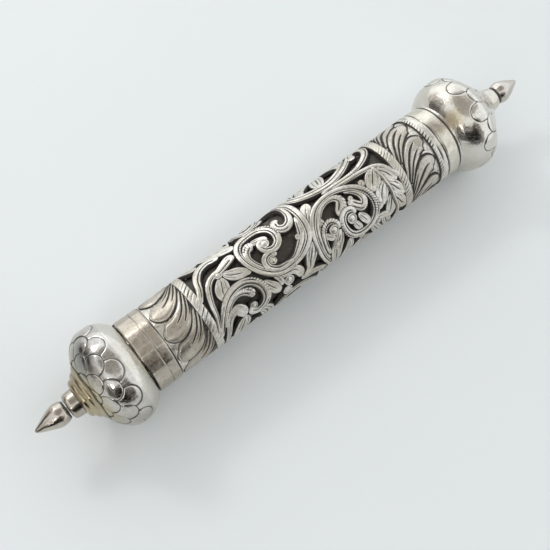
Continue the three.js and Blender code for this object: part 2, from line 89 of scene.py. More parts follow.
# ---- scrollwork, drawn flat: level, then (along the axis, round the tube, width) ----
# A stroke on a higher level passes over a lower one.
STEMS = {
    "arch": (2, [
        (-28, -1, 1), (-26.5, -3.5, 1.3), (-25.4, -6.2, 1.6), (-23.6, -8.4, 1.8), (-21.2, -9.3, 2),
        (-19.3, -8.8, 2.1), (-18.6, -7.7, 1.5),
    ]),
    "flower_stem": (3, [
        (-27.9, 7.2, 0.8), (-26.75, 3.4, 0.8), (-26.1, 0.4, 1), (-25, -2.2, 1.15), (-23.6, -3.8, 1.2),
        (-22, -4.5, 1.2), (-20.4, -4.6, 1.5), (-18.6, -5.2, 1.9), (-16.9, -5.7, 2), (-15.6, -5.4, 1.4),
    ]),
    "mouth_spiral": (2, [
        (-28, 9, 0.9), (-26.6, 6.2, 1), (-25.3, 4, 1.2), (-23.3, 1.9, 1.5), (-21, 0.8, 1.6),
        (-18.4, 0.6, 1.6), (-16.3, 1.4, 1.7), (-14.9, 3.1, 1.9), (-14.4, 5.2, 2), (-14.9, 7.1, 1.9),
        (-16.3, 8.4, 1.7), (-18, 8.6, 1.5), (-19.3, 7.7, 1.3), (-19.4, 6.5, 1.1),
    ]),
    "mouth_inner": (1, [
        (-26, 7.2, 0.6), (-24.7, 4.9, 0.9), (-22.8, 2.9, 1), (-20.6, 2.1, 1.1), (-18.7, 2.5, 1.5),
        (-17.6, 3.5, 2), (-17.7, 4.6, 1.4),
    ]),
    "middle_spiral": (3, [
        (-1.6, -14.4, 1), (0.2, -11.4, 1.1), (1.3, -8.6, 1.3), (1.65, -6, 1.5), (1.6, -3.6, 1.5),
        (1.25, -1.3, 1.5), (0.3, 0.9, 1.5), (-1.5, 2.5, 1.3), (-3.8, 3.6, 1.1), (-7, 4.1, 1.1),
        (-9.6, 3.7, 1.2), (-12, 2.2, 1.3), (-13.8, 0, 1.2), (-14.8, -2.7, 1.2), (-14.6, -5.5, 1.4),
        (-13, -7.6, 1.7), (-10.5, -8.2, 1.8), (-7.9, -8, 1.9), (-6, -6.5, 1.8), (-5.3, -4.4, 1.7),
        (-5.9, -2.4, 1.6), (-7.5, -1.5, 1.5), (-9.2, -1.9, 1.3), (-10, -3.2, 1.1), (-9.6, -4.3, 1.1),
        (-8.6, -4.6, 0.9),
    ]),
    "middle_inner": (1, [
        (0.8, -4.8, 0.5), (0.2, -2.8, 1.2), (-0.6, -0.8, 1.5), (-1.7, 0.6, 1.4), (-3.2, 1.8, 1.2),
        (-5, 2.9, 0.9), (-7.4, 3.1, 0.8), (-9.7, 2.5, 0.9), (-11.6, 1.2, 1), (-13, -0.7, 1),
        (-13.6, -2.7, 1.1), (-13.1, -4.4, 1.6), (-11.9, -5.3, 2.2), (-10.6, -5.5, 1.4),
    ]),
    "middle_bud": (2, [
        (-5.4, 3.1, 0.7), (-7.3, 3.1, 1.1), (-9.4, 2.8, 1.3), (-11, 1.6, 1.5), (-11.2, 0, 1.5),
        (-10.2, -1, 1.3), (-8.8, -0.9, 1.2), (-8.1, 0.1, 1.1),
    ]),
    "middle_curl": (2, [
        (-1.1, -13.6, 0.7), (-0.1, -10.6, 0.9), (0, -7.8, 1), (-0.3, -5.8, 1.4), (-1.3, -4.3, 1.8),
        (-2.9, -3.9, 2), (-4.1, -5, 1.8), (-3.8, -6.5, 1.6), (-2.6, -6.8, 1.1),
    ]),
    "far_arc": (2, [
        (2.5, -17.6, 1.1), (1.7, -15.2, 1.1), (1.6, -12.8, 1.1), (2.4, -10.4, 1.1), (4.1, -8.5, 1.15),
        (6.6, -7.2, 1.1), (9.6, -6.4, 1.1), (12.6, -6.25, 1.1), (15.6, -6.9, 1.15), (18.2, -8.2, 1.2),
        (20.3, -10, 1.2), (21.7, -12.3, 1.2), (22.3, -15, 1.2), (22.9, -17.6, 1.1),
    ]),
    "far_arc_inner": (1, [
        (3.4, -13.6, 0.5), (3.7, -11.2, 0.8), (5, -9.4, 0.8), (7.2, -8.2, 0.8), (9.8, -7.5, 0.7),
        (12.4, -7.3, 0.7), (15, -8, 0.8), (17.4, -9.3, 0.8), (19.3, -11.2, 0.8), (20.3, -13.4, 0.6),
    ]),
    "long_stem": (3, [
        (9, -5.2, 0.5), (12, -5.2, 0.8), (15.5, -5, 0.9), (18.8, -5.2, 1), (21.4, -6, 1.2),
        (23.5, -7.3, 1.4), (24.6, -9.2, 1.5), (24.3, -11.2, 1.4), (22.9, -11.9, 1.3), (21.6, -11, 1.5),
        (21.1, -9.6, 2), (21.4, -8.4, 1.6),
    ]),
    "long_stem_low": (2, [
        (11.5, -4.6, 0.5), (14, -4.4, 0.8), (17, -4.2, 0.9), (20, -3.9, 1), (22.6, -3.3, 1.1),
        (24.3, -2, 1.2), (25.3, 0, 1.2), (26.6, 2, 1.2),
    ]),
    "foot_spiral": (3, [
        (2.7, 12.4, 1), (2.2, 10.2, 1.1), (1.3, 7.8, 1.1), (0.9, 5, 1.15), (1.3, 2.2, 1.2),
        (2.7, -0.7, 1.3), (5.1, -3, 1.25), (8, -4, 1.15), (11, -4, 1.15), (14, -3, 1.25), (16.4, -1.2, 1.4),
        (17.8, 1.2, 1.5), (18, 3.8, 1.6), (17.1, 6.2, 1.8), (15.3, 7.9, 1.9), (12.9, 8.5, 1.8),
        (10.7, 7.9, 1.7), (9.2, 6.2, 1.6), (8.7, 4, 1.5), (9.3, 2.2, 1.5), (10.7, 1.3, 1.4),
        (12.1, 1.7, 1.3), (12.6, 3, 1.2),
    ]),
    "foot_inner": (1, [
        (2.9, 9.4, 0.4), (2.2, 7.2, 0.7), (2.2, 4.6, 0.8), (2.8, 2, 0.8), (4.2, -0.4, 0.9),
        (6.2, -2.2, 0.9), (8.4, -3, 0.9), (10.2, -2.8, 1.3), (11.2, -1.7, 1.9), (10.8, -0.4, 2.4),
        (9.7, 0.7, 2.2), (8.8, 1.5, 1.2),
    ]),
    "foot_curl": (1, [
        (13, -2.6, 0.5), (14.6, -1.6, 0.9), (15.8, 0, 1.2), (16, 1.6, 1.5), (15, 2.6, 1.9), (13.9, 1.8, 2),
        (13, 0.6, 1.8), (12.3, -0.1, 0.9),
    ]),
    "little_curl": (2, [
        (3.2, 8, 0.7), (2.95, 5.6, 0.9), (3.3, 3.3, 1), (4.5, 1.6, 1.15), (6.2, 1.1, 1.3), (7.5, 2.2, 1.2),
        (7.6, 3.7, 0.9),
    ]),
    "near_spiral": (2, [
        (-0.6, 15.8, 0.8), (-2, 13.6, 1.2), (-3.9, 11.7, 1.3), (-6.2, 10.9, 1.4), (-9.2, 11, 1.4),
        (-11.6, 12.4, 1.5), (-12.3, 14.8, 1.5), (-11.2, 17.2, 1.5), (-9, 18.1, 1.5), (-6.8, 17.2, 1.4),
        (-6, 15.3, 1.3), (-7, 13.8, 1.2), (-8.4, 13.7, 1),
    ]),
    "vein": (3, [
        (22.2, -3.4, 0.7), (22.7, -0.6, 0.7), (22.9, 2.4, 0.7), (22.9, 5.4, 0.7), (23.2, 8.4, 0.7),
        (22.9, 11.4, 0.9),
    ]),
}

LEAVES = {
    "arch_leaf": (1, [(-19.4, -10, 0.8), (-17.6, -9.4, 1.7), (-15.8, -8.6, 1.7), (-14, -7.9, 1.1)]),
    "petal": (1, [
        (-20.3, -3.7, 0.8), (-19, -2.4, 2), (-17.4, -1.6, 2.3), (-15.9, -0.9, 1.4), (-14.9, -0.2, 0.6),
    ]),
    "round_leaf": (0, [
        (-21.1, -3.4, 0.9), (-21.7, -1.9, 2.4), (-22.4, -0.5, 3), (-23, 0.9, 2.4), (-23.3, 1.8, 1.4),
    ]),
    "mouth_bud": (1, [
        (-27, 13, 0.8), (-26, 9.5, 0.9), (-25, 6.8, 1), (-23.6, 5.2, 1.3), (-22, 5, 2), (-21.2, 6.2, 2.4),
        (-21.3, 7.6, 1.6),
    ]),
    "low_leaf": (0, [
        (-20.8, 7.6, 1.2), (-21.6, 9.4, 3), (-22.6, 11.6, 3.6), (-23.3, 14, 3), (-24.2, 16.6, 1.4),
    ]),
    "low_leaf_by_spiral": (1, [
        (-17.4, 9, 0.9), (-16, 10.4, 2.6), (-15.4, 12.2, 3), (-15.8, 14.6, 2.4), (-17, 18, 1.2),
    ]),
    "middle_feather": (0, [(-11.2, -5.6, 0.9), (-9.6, -5.3, 1.3), (-8.3, -4.8, 1.3), (-7.3, -4.2, 0.7)]),
    "middle_nub": (1, [(-1.2, 0.2, 0.8), (-2.3, -0.9, 1.1)]),
    "tie_leaf": (1, [(-14, 3, 0.8), (-13.2, 4.6, 1.7), (-12.2, 6.2, 2.2), (-11.2, 7.9, 1.6)]),
    "tie": (2, [(-11.2, 3.3, 0.7), (-10.3, 5, 0.9), (-10.3, 6.8, 0.9)]),
    "hood": (1, [(-10, 4.6, 0.9), (-8, 4.9, 1.1), (-6.4, 5.3, 1.6), (-5.4, 6.6, 1.9), (-5.6, 8.2, 1.2)]),
    "wedge": (1, [(0.4, 2.4, 0.9), (-0.8, 4.2, 2.4), (-1.9, 5.8, 2.2), (-2.9, 7.8, 1.4), (-4.6, 9, 1)]),
    "near_leaf_long": (0, [
        (-5.6, 8.8, 1.2), (-3.6, 9.4, 1.5), (-1.6, 9.8, 1.5), (0.2, 10.8, 1.4), (1.9, 12.8, 1.2),
    ]),
    "bud": (1, [(1.9, -1.6, 1), (3.1, -3.6, 1.9), (4.1, -4.9, 2), (4.8, -5.8, 1.3)]),
    "palm_middle": (0, [
        (10.2, -7.2, 1.6), (10.8, -9.4, 3), (11.6, -12, 3), (12.2, -14.8, 2.4), (12.4, -17.6, 1.4),
        (12.6, -20.2, 1),
    ]),
    "palm_left": (1, [
        (12, -17.6, 1), (10, -15.2, 1.8), (7.6, -12.6, 2.4), (6.2, -10.6, 2), (6.3, -8.8, 0.9),
    ]),
    "palm_right": (1, [
        (12.8, -17.6, 1), (14.6, -15.2, 1.8), (16.8, -12.8, 2.3), (17.6, -11, 1.8), (17.2, -9.2, 0.9),
    ]),
    "foot_nub": (1, [(17.2, -0.9, 1), (18.3, -2.4, 1.3)]),
    "spike": (0, [(13.2, 0.3, 1), (13.7, -1, 0.7)]),
    "oval": (2, [(13.1, 3.4, 0.7), (13.9, 5, 1.5), (14.5, 6.2, 1.4), (15, 7.4, 0.8)]),
    "foot_feather": (0, [(11.4, 4.5, 0.8), (11.9, 6, 1.3), (12.8, 7.6, 0.8)]),
    "roll": (1, [(3.4, 2.9, 0.8), (4.6, 4.2, 1.1), (5.6, 5.2, 0.8)]),
    "curl_nub": (0, [(4.8, 0.9, 1), (4.2, -0.9, 0.9)]),
    "bead_leaf": (1, [
        (7.6, 3.9, 0.9), (6.3, 6.2, 2.2), (5.3, 7.6, 2.8), (4.7, 9.6, 2.6), (4.5, 12, 2), (3.7, 14.8, 1.2),
        (2.4, 17, 0.9),
    ]),
    "near_leaf_left": (1, [(9, 7.6, 0.9), (8.6, 10, 2), (7.6, 12.2, 2.2), (6.6, 15.2, 1.2)]),
    "near_leaf_middle": (1, [(15.6, 8.4, 1), (16.4, 10.6, 2), (17.4, 12.8, 2.2), (17.8, 15.6, 1.6)]),
    "near_leaf_right": (0, [(19, 7.6, 1), (19.6, 10.2, 2), (20.4, 12.6, 2), (21.8, 15.2, 1.2)]),
    "lobe_left_first": (1.6, [(22.3, -3, 1.2), (21, -1.4, 2.6), (19.8, 0, 2.4), (18.7, 1.4, 1)]),
    "lobe_left_second": (0.9, [(22.7, 0.8, 1), (21.2, 2.2, 2.2), (20.1, 3.8, 2.2), (19.5, 5.6, 1.2)]),
    "lobe_left_third": (0.2, [(22.9, 4.4, 1), (21.9, 6.4, 1.9), (21.2, 8.4, 2), (20.3, 10.4, 1.2)]),
    "lobe_right_first": (1.3, [(22.6, -2.4, 1), (24, -0.8, 2.2), (24.7, 0.8, 2), (25.3, 2.4, 1.1)]),
    "lobe_right_second": (0.6, [(22.9, 1.4, 0.9), (24, 3, 1.8), (24.9, 4.6, 1.8), (26.4, 6.2, 1.2)]),
    "lobe_right_third": (0, [(23, 5, 0.9), (24, 6.8, 1.9), (24.8, 8.6, 2), (26.4, 10.4, 1.2)]),
    "side_bead": (2, [(19.7, 5.3, 0.8), (18.7, 5.2, 1.2), (17.6, 4.9, 0.9)]),
    "side_low": (1, [(16.2, 7.2, 1), (17.8, 7.8, 1.2), (19.2, 8.2, 1.4), (20.8, 8.8, 1)]),
    "top_leaf": (1, [
        (-22, -11.9, 0.8), (-19.8, -11.4, 1.8), (-17.8, -10.8, 2.3), (-15.8, -10.2, 1.8),
        (-14.2, -9.9, 0.8),
    ]),
    "top_leaf_low": (0, [
        (-13.5, -12.6, 0.8), (-11.4, -11.8, 1.8), (-9.2, -11.2, 2.2), (-6.8, -10.9, 2), (-4.6, -10.9, 1),
    ]),
    "corner": (1, [(-28.2, -14, 1), (-26.4, -12.6, 1.6), (-24.8, -11, 1.6), (-23.2, -9.9, 1)]),
}

# Round bosses: along the axis, round the tube, radius.
BOSSES = [
    (-21.2, -4.1, 1), (-18.4, 6.6, 1), (-8.7, -3.7, 1.15), (-9.5, 0.6, 0.9), (-8.5, 6.8, 1.3),
    (-9.6, 9.2, 1.3), (11.2, 3.6, 1.25), (6.1, 3.3, 1.25), (5.4, 7.1, 1.2), (-8.7, 15, 1.4),
    (17.3, 9, 0.8),
]

# Strokes with short cuts across them: (from, to) as shares of their length, and the side
# that is cut, -1 or 1, or 0 for the whole width.
HATCHED = {
    "middle_spiral": [(0.6, 0.74, 1), (0.74, 0.88, -1)],
    "middle_inner": [(0.86, 1, 0)],
    "mouth_spiral": [(0.52, 0.74, -1)],
    "mouth_inner": [(0.7, 1, -1)],
    "foot_spiral": [(0.52, 0.68, 0), (0.76, 0.92, -1)],
    "foot_inner": [(0.72, 0.95, -1)],
    "little_curl": [(0.45, 0.9, 0)],
    "near_spiral": [(0.35, 0.6, 1)],
    "long_stem": [(0.3, 0.55, -1)],
}


# ---- geometry: closed bodies made as grids of rings ----
class Shell:
    """Closed bodies of one piece. Its points are in metres, and each has a polish_and_shade value,
    from 0 in a blackened recess or under painted shade to 1 on bright, unshaded metal."""

    def __init__(self):
        self.points = []
        self.polish_and_shade = []
        self.faces = []
        self.count = 0

    def add(self, points, polish_and_shade, looped=False):
        """Adds rings of points. The first and last are joined where looped, or closed flat."""
        rows, columns = polish_and_shade.shape
        index = np.arange(rows * columns).reshape(rows, columns)
        low = index if looped else index[:-1]
        high = np.roll(index, -1, axis=0) if looped else index[1:]
        quads = np.stack([low, np.roll(low, -1, 1), np.roll(high, -1, 1), high], -1).reshape(-1, 4)
        flat = points.reshape(-1, 3)
        corners = (flat - flat.mean(axis=0))[quads]
        crossed = np.cross(corners[:, 2] - corners[:, 0], corners[:, 3] - corners[:, 1])
        inside_out = np.einsum("ij,ij->", corners.mean(axis=1), crossed) < 0
        faces = quads.tolist()
        if not looped:
            faces += [index[0][::-1].tolist(), index[-1].tolist()]
        for face in faces:
            turned_face = face[::-1] if inside_out else face
            self.faces.append([corner + self.count for corner in turned_face])
        self.points.append(flat)
        self.polish_and_shade.append(np.clip(polish_and_shade, 0, 1).reshape(-1))
        self.count += rows * columns


def on_tube(u, v, radius):
    """Points of the flat drawing, wrapped round the axis at a radius, in metres."""
    angle = DRAWING_ANGLE + v / TUBE_R
    place = [u, radius * np.cos(angle), AXIS_Z + radius * np.sin(angle)]
    return np.stack(place, axis=-1) * MM


def resampled(line, step):
    """The same line with points an even distance apart, and how far along each lies."""
    line = np.array(line, float)
    lengths = np.hypot(*np.diff(line[:, :2], axis=0).T)
    along = np.concatenate([[0], np.cumsum(lengths)])
    count = max(2, math.ceil(along[-1] / step))
    distance = np.linspace(0, along[-1], count + 1)
    columns = [np.interp(distance, along, column) for column in line.T]
    return np.stack(columns, axis=-1), distance


def curved(points, per_span=16):
    """A smooth curve through the points (uniform Catmull-Rom)."""
    p = np.array(points, float)
    p = np.vstack([2 * p[0] - p[1], p, 2 * p[-1] - p[-2]])
    t = np.linspace(0, 1, per_span, endpoint=False)[:, None]
    spans = []
    for a, b, c, d in zip(p, p[1:], p[2:], p[3:]):
        cubic = (3 * b - a - 3 * c + d) * t**3 + (2 * a - 5 * b + 4 * c - d) * t**2
        spans.append((cubic + (c - a) * t + 2 * b) / 2)
    return np.vstack([*spans, p[-2][None]])


def bump(x, width):
    """1 at zero, falling smoothly to nothing about two widths away."""
    return np.exp(-((x / width) ** 2))


def ramp(x, start, end):
    t = np.clip((x - start) / (end - start), 0, 1)
    return t * t * (3 - 2 * t)


def waves(seed, reach, x, angle):
    """Slow random unevenness between about -1 and 1, the same at both ends of a full turn."""
    draw = np.random.default_rng(seed)
    total = 0
    for _ in range(9):
        rate = draw.uniform(0.2, 1) * 2 * math.pi / reach
        turns = draw.integers(-9, 10)
        total = total + np.sin(rate * x + turns * angle + draw.uniform(0, 2 * math.pi))
    return total / 4.5


INSIDE_POLISH = 0.75


def spin(shell, outer, inner=(), sides=120, field=None):
    """Adds a turned body. The outer outline runs from low x to high x and carries the
    field's relief; the inner outline runs back and makes it hollow."""
    outer = np.array(outer, float)
    x, radius = outer.T
    slope_x, slope_r = np.gradient(x), np.gradient(radius)
    length = np.hypot(slope_x, slope_r)
    along = np.concatenate([[0], np.cumsum(np.hypot(np.diff(x), np.diff(radius)))])
    angle = np.arange(sides)[None, :] * 2 * math.pi / sides
    shape = (len(x), sides)
    relief, polish_and_shade = field(x[:, None], radius[:, None], along[:, None], angle) if field else (0, 1)
    relief, polish_and_shade = np.broadcast_to(relief, shape), np.broadcast_to(polish_and_shade, shape)
    xs = x[:, None] - (slope_r / length)[:, None] * relief
    rs = radius[:, None] + (slope_x / length)[:, None] * relief
    if len(inner):
        back = np.array(inner, float)
        xs = np.vstack([xs, np.repeat(back[:, :1], sides, axis=1)])
        rs = np.vstack([rs, np.repeat(back[:, 1:], sides, axis=1)])
        polish_and_shade = np.vstack([polish_and_shade, np.full((len(back), sides), INSIDE_POLISH)])
    points = np.stack([xs, rs * np.cos(angle), AXIS_Z + rs * np.sin(angle)], axis=-1) * MM
    shell.add(points, polish_and_shade, looped=len(inner) > 0)


def drawing_v(angle):
    """Where a point of a turned piece lies round the flat drawing, in millimetres."""
    return (angle - DRAWING_ANGLE) * TUBE_R


# ---- strokes of the scrollwork ----
STROKE_FOOT = TUBE_BORE + 0.02
STROKE_EDGE = 8.74               # radius of the lowest strokes' edges
LEVEL_STEP = 0.085
SKIRT = 0.1                      # how far a stroke's foot stands out past its edge
EDGE_SHADE = 0.33                 # width of the painted shade along a stroke's edge, where it drops to its foot
STEMS_WIDER = 0.4                # how much wider the strokes are than the lists say
LEAVES_WIDER = 0.7
LOBES_WIDER = 1.3                # the broad leaf by the band at the foot
HATCH_PITCH = 0.6
PAINTED_FOOT_SHADE = 0.02                      # the polish_and_shade value of a stroke's foot, near black: painted shade where it shows between strokes
BOTH_SIDES = ((0, 0), (1, 1))    # a foot point is added at each end of every section
# Where the points of a section lie, from edge to edge, closer together near engraved lines.
STEM_SECTION = np.array([-1, -0.93, -0.8, -0.62, -0.42, -0.2, 0, 0.2, 0.34, 0.45, 0.56, 0.7, 0.84, 0.94, 1])
LEAF_SECTION = np.concatenate([np.linspace(-1, -0.12, 15), [-0.06, 0, 0.06], np.linspace(0.12, 1, 15)])
LOBE_SECTION = np.linspace(-1, 1, 57)


def stroke(shell, line, edge_radius, shape, section, step, foot=STROKE_FOOT, shift=0, wider=0, skirt=SKIRT):
    """Adds a closed ribbon with rounded ends. The shape gives height and polish_and_shade from the
    place across, the distance along, the whole length and the half width. Its foot on each side is painted
    dark as shade."""
    samples, distance = resampled(curved(line), step)
    u, v, width = samples.T
    slope_u, slope_v = np.gradient(u), np.gradient(v)
    slope = np.hypot(slope_u, slope_v)
    half = (width + wider) / 2
    from_end = np.minimum(distance, distance[-1] - distance)
    rounding = np.clip(from_end / np.maximum(half, 0.1), 0, 1)
    half = np.maximum(half * np.sqrt(1 - (1 - rounding) ** 2), 0.03)
    height, polish_and_shade = shape(section[None, :], distance[:, None], distance[-1], half[:, None])
    side = np.column_stack([-half - skirt, half[:, None] * section[None, :], half + skirt])
    radius = np.pad(edge_radius + height, BOTH_SIDES, constant_values=foot)
    # The foot is painted near black as shade.
    polish_and_shade = np.pad(polish_and_shade, BOTH_SIDES, constant_values=PAINTED_FOOT_SHADE)
    at_u = u[:, None] - (slope_v / slope)[:, None] * side
    at_v = v[:, None] + (slope_u / slope)[:, None] * side + shift
    shell.add(on_tube(at_u, at_v, radius), polish_and_shade)


def hatch(across, distance, length, name):
    """Depth from 0 to 1 of the short cuts across a stroke."""
    cuts = 0
    for start, end, side in HATCHED.get(name, ()):
        share = distance / length
        here = ramp(share, start, start + 0.03) * (1 - ramp(share, end - 0.03, end))
        reach = 1 - ramp(abs(across), 0.7, 0.95) if side == 0 else ramp(across * side, 0.05, 0.3)
        teeth = np.clip(np.cos(2 * math.pi * (distance + 0.4 * across) / HATCH_PITCH), 0, 1) ** 3
        cuts = cuts + here * reach * teeth
    return cuts


def stem_shape(name, seed):
    """A crowned stem that leans to one side, with an engraved line by one edge. Where it is
    broad, a second, broken line runs by the other."""
    def shape(across, distance, length, half):
        crown = np.minimum(0.22, 0.06 + 0.18 * half)
        height = crown * (1 - abs(across) ** 3.5) - 0.04 * across
        uneven = waves(seed, 5, distance, across)
        line = bump(across - 0.36 - 0.05 * uneven, 0.15) * ramp(half, 0.38, 0.55)
        line = line + bump(across + 0.38, 0.11) * ramp(half, 0.92, 1.05) * ramp(uneven, -0.2, 0.3)
        line = line * ramp(distance, 0.6, 2) * (1 - ramp(distance, length - 2, length - 0.6))
        cuts = hatch(across, distance, length, name)
        height = height - 0.13 * line - 0.1 * cuts + 0.02 * uneven
        # Painted shade: the stem darkens towards its edge.
        edge = ramp((1 - abs(across)) * half, EDGE_SHADE, 0)
        polish_and_shade = 1 - edge - 1.15 * line - 0.9 * cuts
        return height, polish_and_shade
    return shape


def leaf_shape(seed):
    """A flat leaf with a low rim, a vein that runs out, and a cut on each side of its root."""
    def shape(across, distance, length, half):
        share = distance / length
        rim = bump(abs(across) - 0.8, 0.13) * ramp(half, 0.4, 0.8)
        body = 0.17 * (1 - across**6)
        vein = bump(across - 0.05, 0.085) * ramp(share, 0.04, 0.2) * (1 - ramp(share, 0.55, 0.9))
        vein = vein * ramp(half, 0.35, 0.6)
        fan = bump(abs(across) - 0.5, 0.08) * ramp(half, 0.5, 0.8) * (1 - ramp(share, 0.35, 0.6))
        uneven = waves(seed, 4, distance, across)
        height = body + 0.05 * rim - 0.14 * vein - 0.07 * fan + 0.025 * uneven
        # Painted shade: the leaf darkens towards its edge.
        edge = ramp((1 - abs(across)) * half, EDGE_SHADE, 0)
        polish_and_shade = 1 - edge - 1.1 * vein - 0.7 * fan
        return height, polish_and_shade
    return shape


def boss(shell, u, v, size, shift, sides=28):
    """A domed boss inside an engraved ring."""
    reach = np.array([0.03, 0.25, 0.45, 0.58, 0.66, 0.74, 0.84, 0.94, 1, 1 + SKIRT / size])
    dome = 0.2 * (1 - np.clip(reach / 0.62, 0, 1) ** 2) + 0.12 * bump(reach - 0.86, 0.12)
    radius = np.append(STROKE_EDGE + 3 * LEVEL_STEP + dome[:-1], STROKE_FOOT)
    # An engraved ring, and painted shade where the boss drops to its foot.
    polish_and_shade = 1 - 0.85 * bump(reach - 0.66, 0.06) - 0.85 * ramp(reach, 0.9, 1)
    turn = np.arange(sides)[None, :] * 2 * math.pi / sides
    at_u = u + size * reach[:, None] * np.cos(turn)
    at_v = v + size * reach[:, None] * np.sin(turn) + shift
    shell.add(on_tube(at_u, at_v, radius[:, None]), np.repeat(polish_and_shade[:, None], sides, axis=1))


def scrollwork():
    shell = Shell()
    for shift in (0, REPEAT):
        for seed, (name, (level, line)) in enumerate(STEMS.items()):
            step = 0.1 if name in HATCHED else 0.2
            edge = STROKE_EDGE + LEVEL_STEP * level
            shape = stem_shape(name, seed)
            stroke(shell, line, edge, shape, STEM_SECTION, step, shift=shift, wider=STEMS_WIDER)
        for seed, (name, (level, line)) in enumerate(LEAVES.items(), start=100):
            edge = STROKE_EDGE + LEVEL_STEP * level
            wider = LOBES_WIDER if name.startswith("lobe") else LEAVES_WIDER
            stroke(shell, line, edge, leaf_shape(seed), LEAF_SECTION, 0.18, shift=shift, wider=wider)
        for u, v, size in BOSSES:
            boss(shell, u, v, size, shift)
    return shell


# ---- tongues and fans: broad curved lobes at the tube's two ends ----
LOBE_COUNT = 10
LOBE_PITCH = 2 * REPEAT / LOBE_COUNT
LOBE_EDGE = 8.7                  # radius of a lobe's edge
GROUND_R = 8.6                   # grained ground that shows between the lobes
# Turn is 1 where the tails run to +X and -1 where to -X. First is the first lobe's place round
# the drawing, head_shade how strong the painted shade round a head is, and skirt how far its foot,
# painted dark as shade, stands out. The line is a lobe's middle from its round head, with its width.
# Each set of cuts is (place across, where it starts as a share of the length, width).
TONGUES = {
    "start": BARREL_START + 0.15, "turn": 1, "first": 0.6, "head_shade": -0.06, "skirt": 0.15, "seed": 70,
    "line": [
        (0, 0, 2.6), (2.1, -0.1, 5.4), (4.6, -0.9, 5), (6.6, -2.6, 3.8), (8, -4.8, 2.8), (9.3, -7.6, 2.2),
    ],
    "cuts": [
        [(0.02, 0.32, 0.24), (0.58, 0.45, 0.17), (-0.55, 0.5, 0.18)],
        [(-0.2, 0.3, 0.23), (0.34, 0.38, 0.22), (0.74, 0.5, 0.14)],
        [(-0.5, 0.4, 0.2), (-0.02, 0.26, 0.24), (0.5, 0.42, 0.19)],
    ],
}
FANS = {
    "start": HATCHED_BAND[0] - 0.15, "turn": -1, "first": -7.6, "head_shade": 0.2, "skirt": 0.3, "seed": 90,
    "line": [(0, 0, 2.6), (2, -0.1, 5.2), (4, -1.1, 4.9), (6, -3, 3.8), (7.4, -5.2, 2.8), (8.8, -7.9, 2.2)],
    "cuts": [
        [(0, 0.16, 0.38), (0.6, 0.4, 0.2)],
        [(0.25, 0.16, 0.34), (-0.38, 0.24, 0.26)],
        [(-0.1, 0.18, 0.4), (0.55, 0.36, 0.22)],
    ],
}


def lobe_shape(lobe_cuts, head_shade, seed):
    """A pillow with a line round its head, and cuts that widen towards its tail."""
    def shape(across, distance, length, half):
        share = distance / length
        to_edge = (1 - abs(across)) * half
        from_head = np.minimum(to_edge, distance)
        head = 1 - ramp(share, 0.3, 0.55)
        outline = bump(from_head - 0.62, 0.14) * head
        pillow = 0.28 * (1 - abs(across) ** 2.6) + 0.1 * across
        cuts = 0
        for place, start, width in lobe_cuts:
            taper = width * (0.45 + 0.55 * ramp(share, start, start + 0.2))
            cuts = cuts + bump((across - place) * half, taper) * ramp(share, start, start + 0.06)
        uneven = waves(seed, 5, distance, across)
        height = pillow - 0.08 * outline - 0.24 * np.clip(cuts, 0, 1) + 0.03 * uneven
        # Painted shade along the lobe's edge, stronger round its head by head_shade.
        edge = ramp(from_head, 0.46 + head_shade * head, 0.1 + 0.8 * head_shade * head)
        polish_and_shade = 1 - edge - 0.45 * outline - 1.1 * cuts
        return height, polish_and_shade
    return shape


def lobes(kind):
    """Tongues or fans all round the tube."""
    shell = Shell()
    seed, turn = kind["seed"], kind["turn"]
    draw = np.random.default_rng(seed)
    for k in range(LOBE_COUNT):
        at = kind["first"] + k * LOBE_PITCH
        line = [(kind["start"] + turn * u, at + turn * v, width) for u, v, width in kind["line"]]
        lobe_cuts = kind["cuts"][draw.integers(len(kind["cuts"]))]
        shape = lobe_shape(lobe_cuts, kind["head_shade"], seed + k)
        stroke(shell, line, LOBE_EDGE, shape, LOBE_SECTION, 0.12, GROUND_R - 0.06, skirt=kind["skirt"])
    return shell


def ground_field(x, radius, along, angle):
    grain = waves(31, 1.2, x, angle * 9) + waves(32, 0.8, x, angle * 14)
    return 0.03 * grain, 0.8 + 0.16 * grain


def rope_field(pitch, lean, seed):
    """Slanting ridges like a twisted rope, between two dark edge lines."""
    def field(x, radius, along, angle):
        width = along[-1]
        across = 2 * along / width - 1
        v = drawing_v(angle) + 0.18 * waves(seed, 6, x, angle)
        count = round(2 * REPEAT / pitch)
        ridges = np.cos((v + lean * (along - width / 2)) * count * math.pi / REPEAT)
        cut = np.clip(-ridges, 0, 1) ** 1.4
        worn = np.clip(0.8 + 0.5 * waves(seed + 1, 6, x, angle), 0.3, 1)
        middle = 1 - ramp(abs(across), 0.55, 0.86)
        edge = ramp(abs(across), 0.86, 0.98)
        relief = 0.1 - 0.16 * across**2 - 0.12 * cut * middle * worn - 0.12 * edge
        line = bump(abs(across) - 0.86, 0.1)
        return relief - 0.06 * line, 1 - 0.85 * cut * middle * worn - 0.95 * edge - 0.9 * line
    return field


def hatched_field(x, radius, along, angle):
    """A narrow band hatched along both of its edges."""
    width = along[-1]
    across = 2 * along / width - 1
    v = drawing_v(angle)
    teeth = np.cos((v + 0.6 * along) * 62 * math.pi / REPEAT)
    worn = np.clip(0.9 + 0.5 * waves(41, 8, x, angle), 0, 1)
    broken = np.clip(0.55 + 0.9 * waves(42, 30, 0, angle), 0.15, 1)
    cut = np.clip(0.3 - teeth, 0, 1) * bump(across + 0.45, 0.4) * worn
    line = bump(across + 0.92, 0.16) + bump(across - 0.15, 0.12) * broken
    relief = 0.02 + 0.04 * bump(across - 0.6, 0.4) - 0.11 * cut - 0.12 * line
    return relief, 1 - cut - line


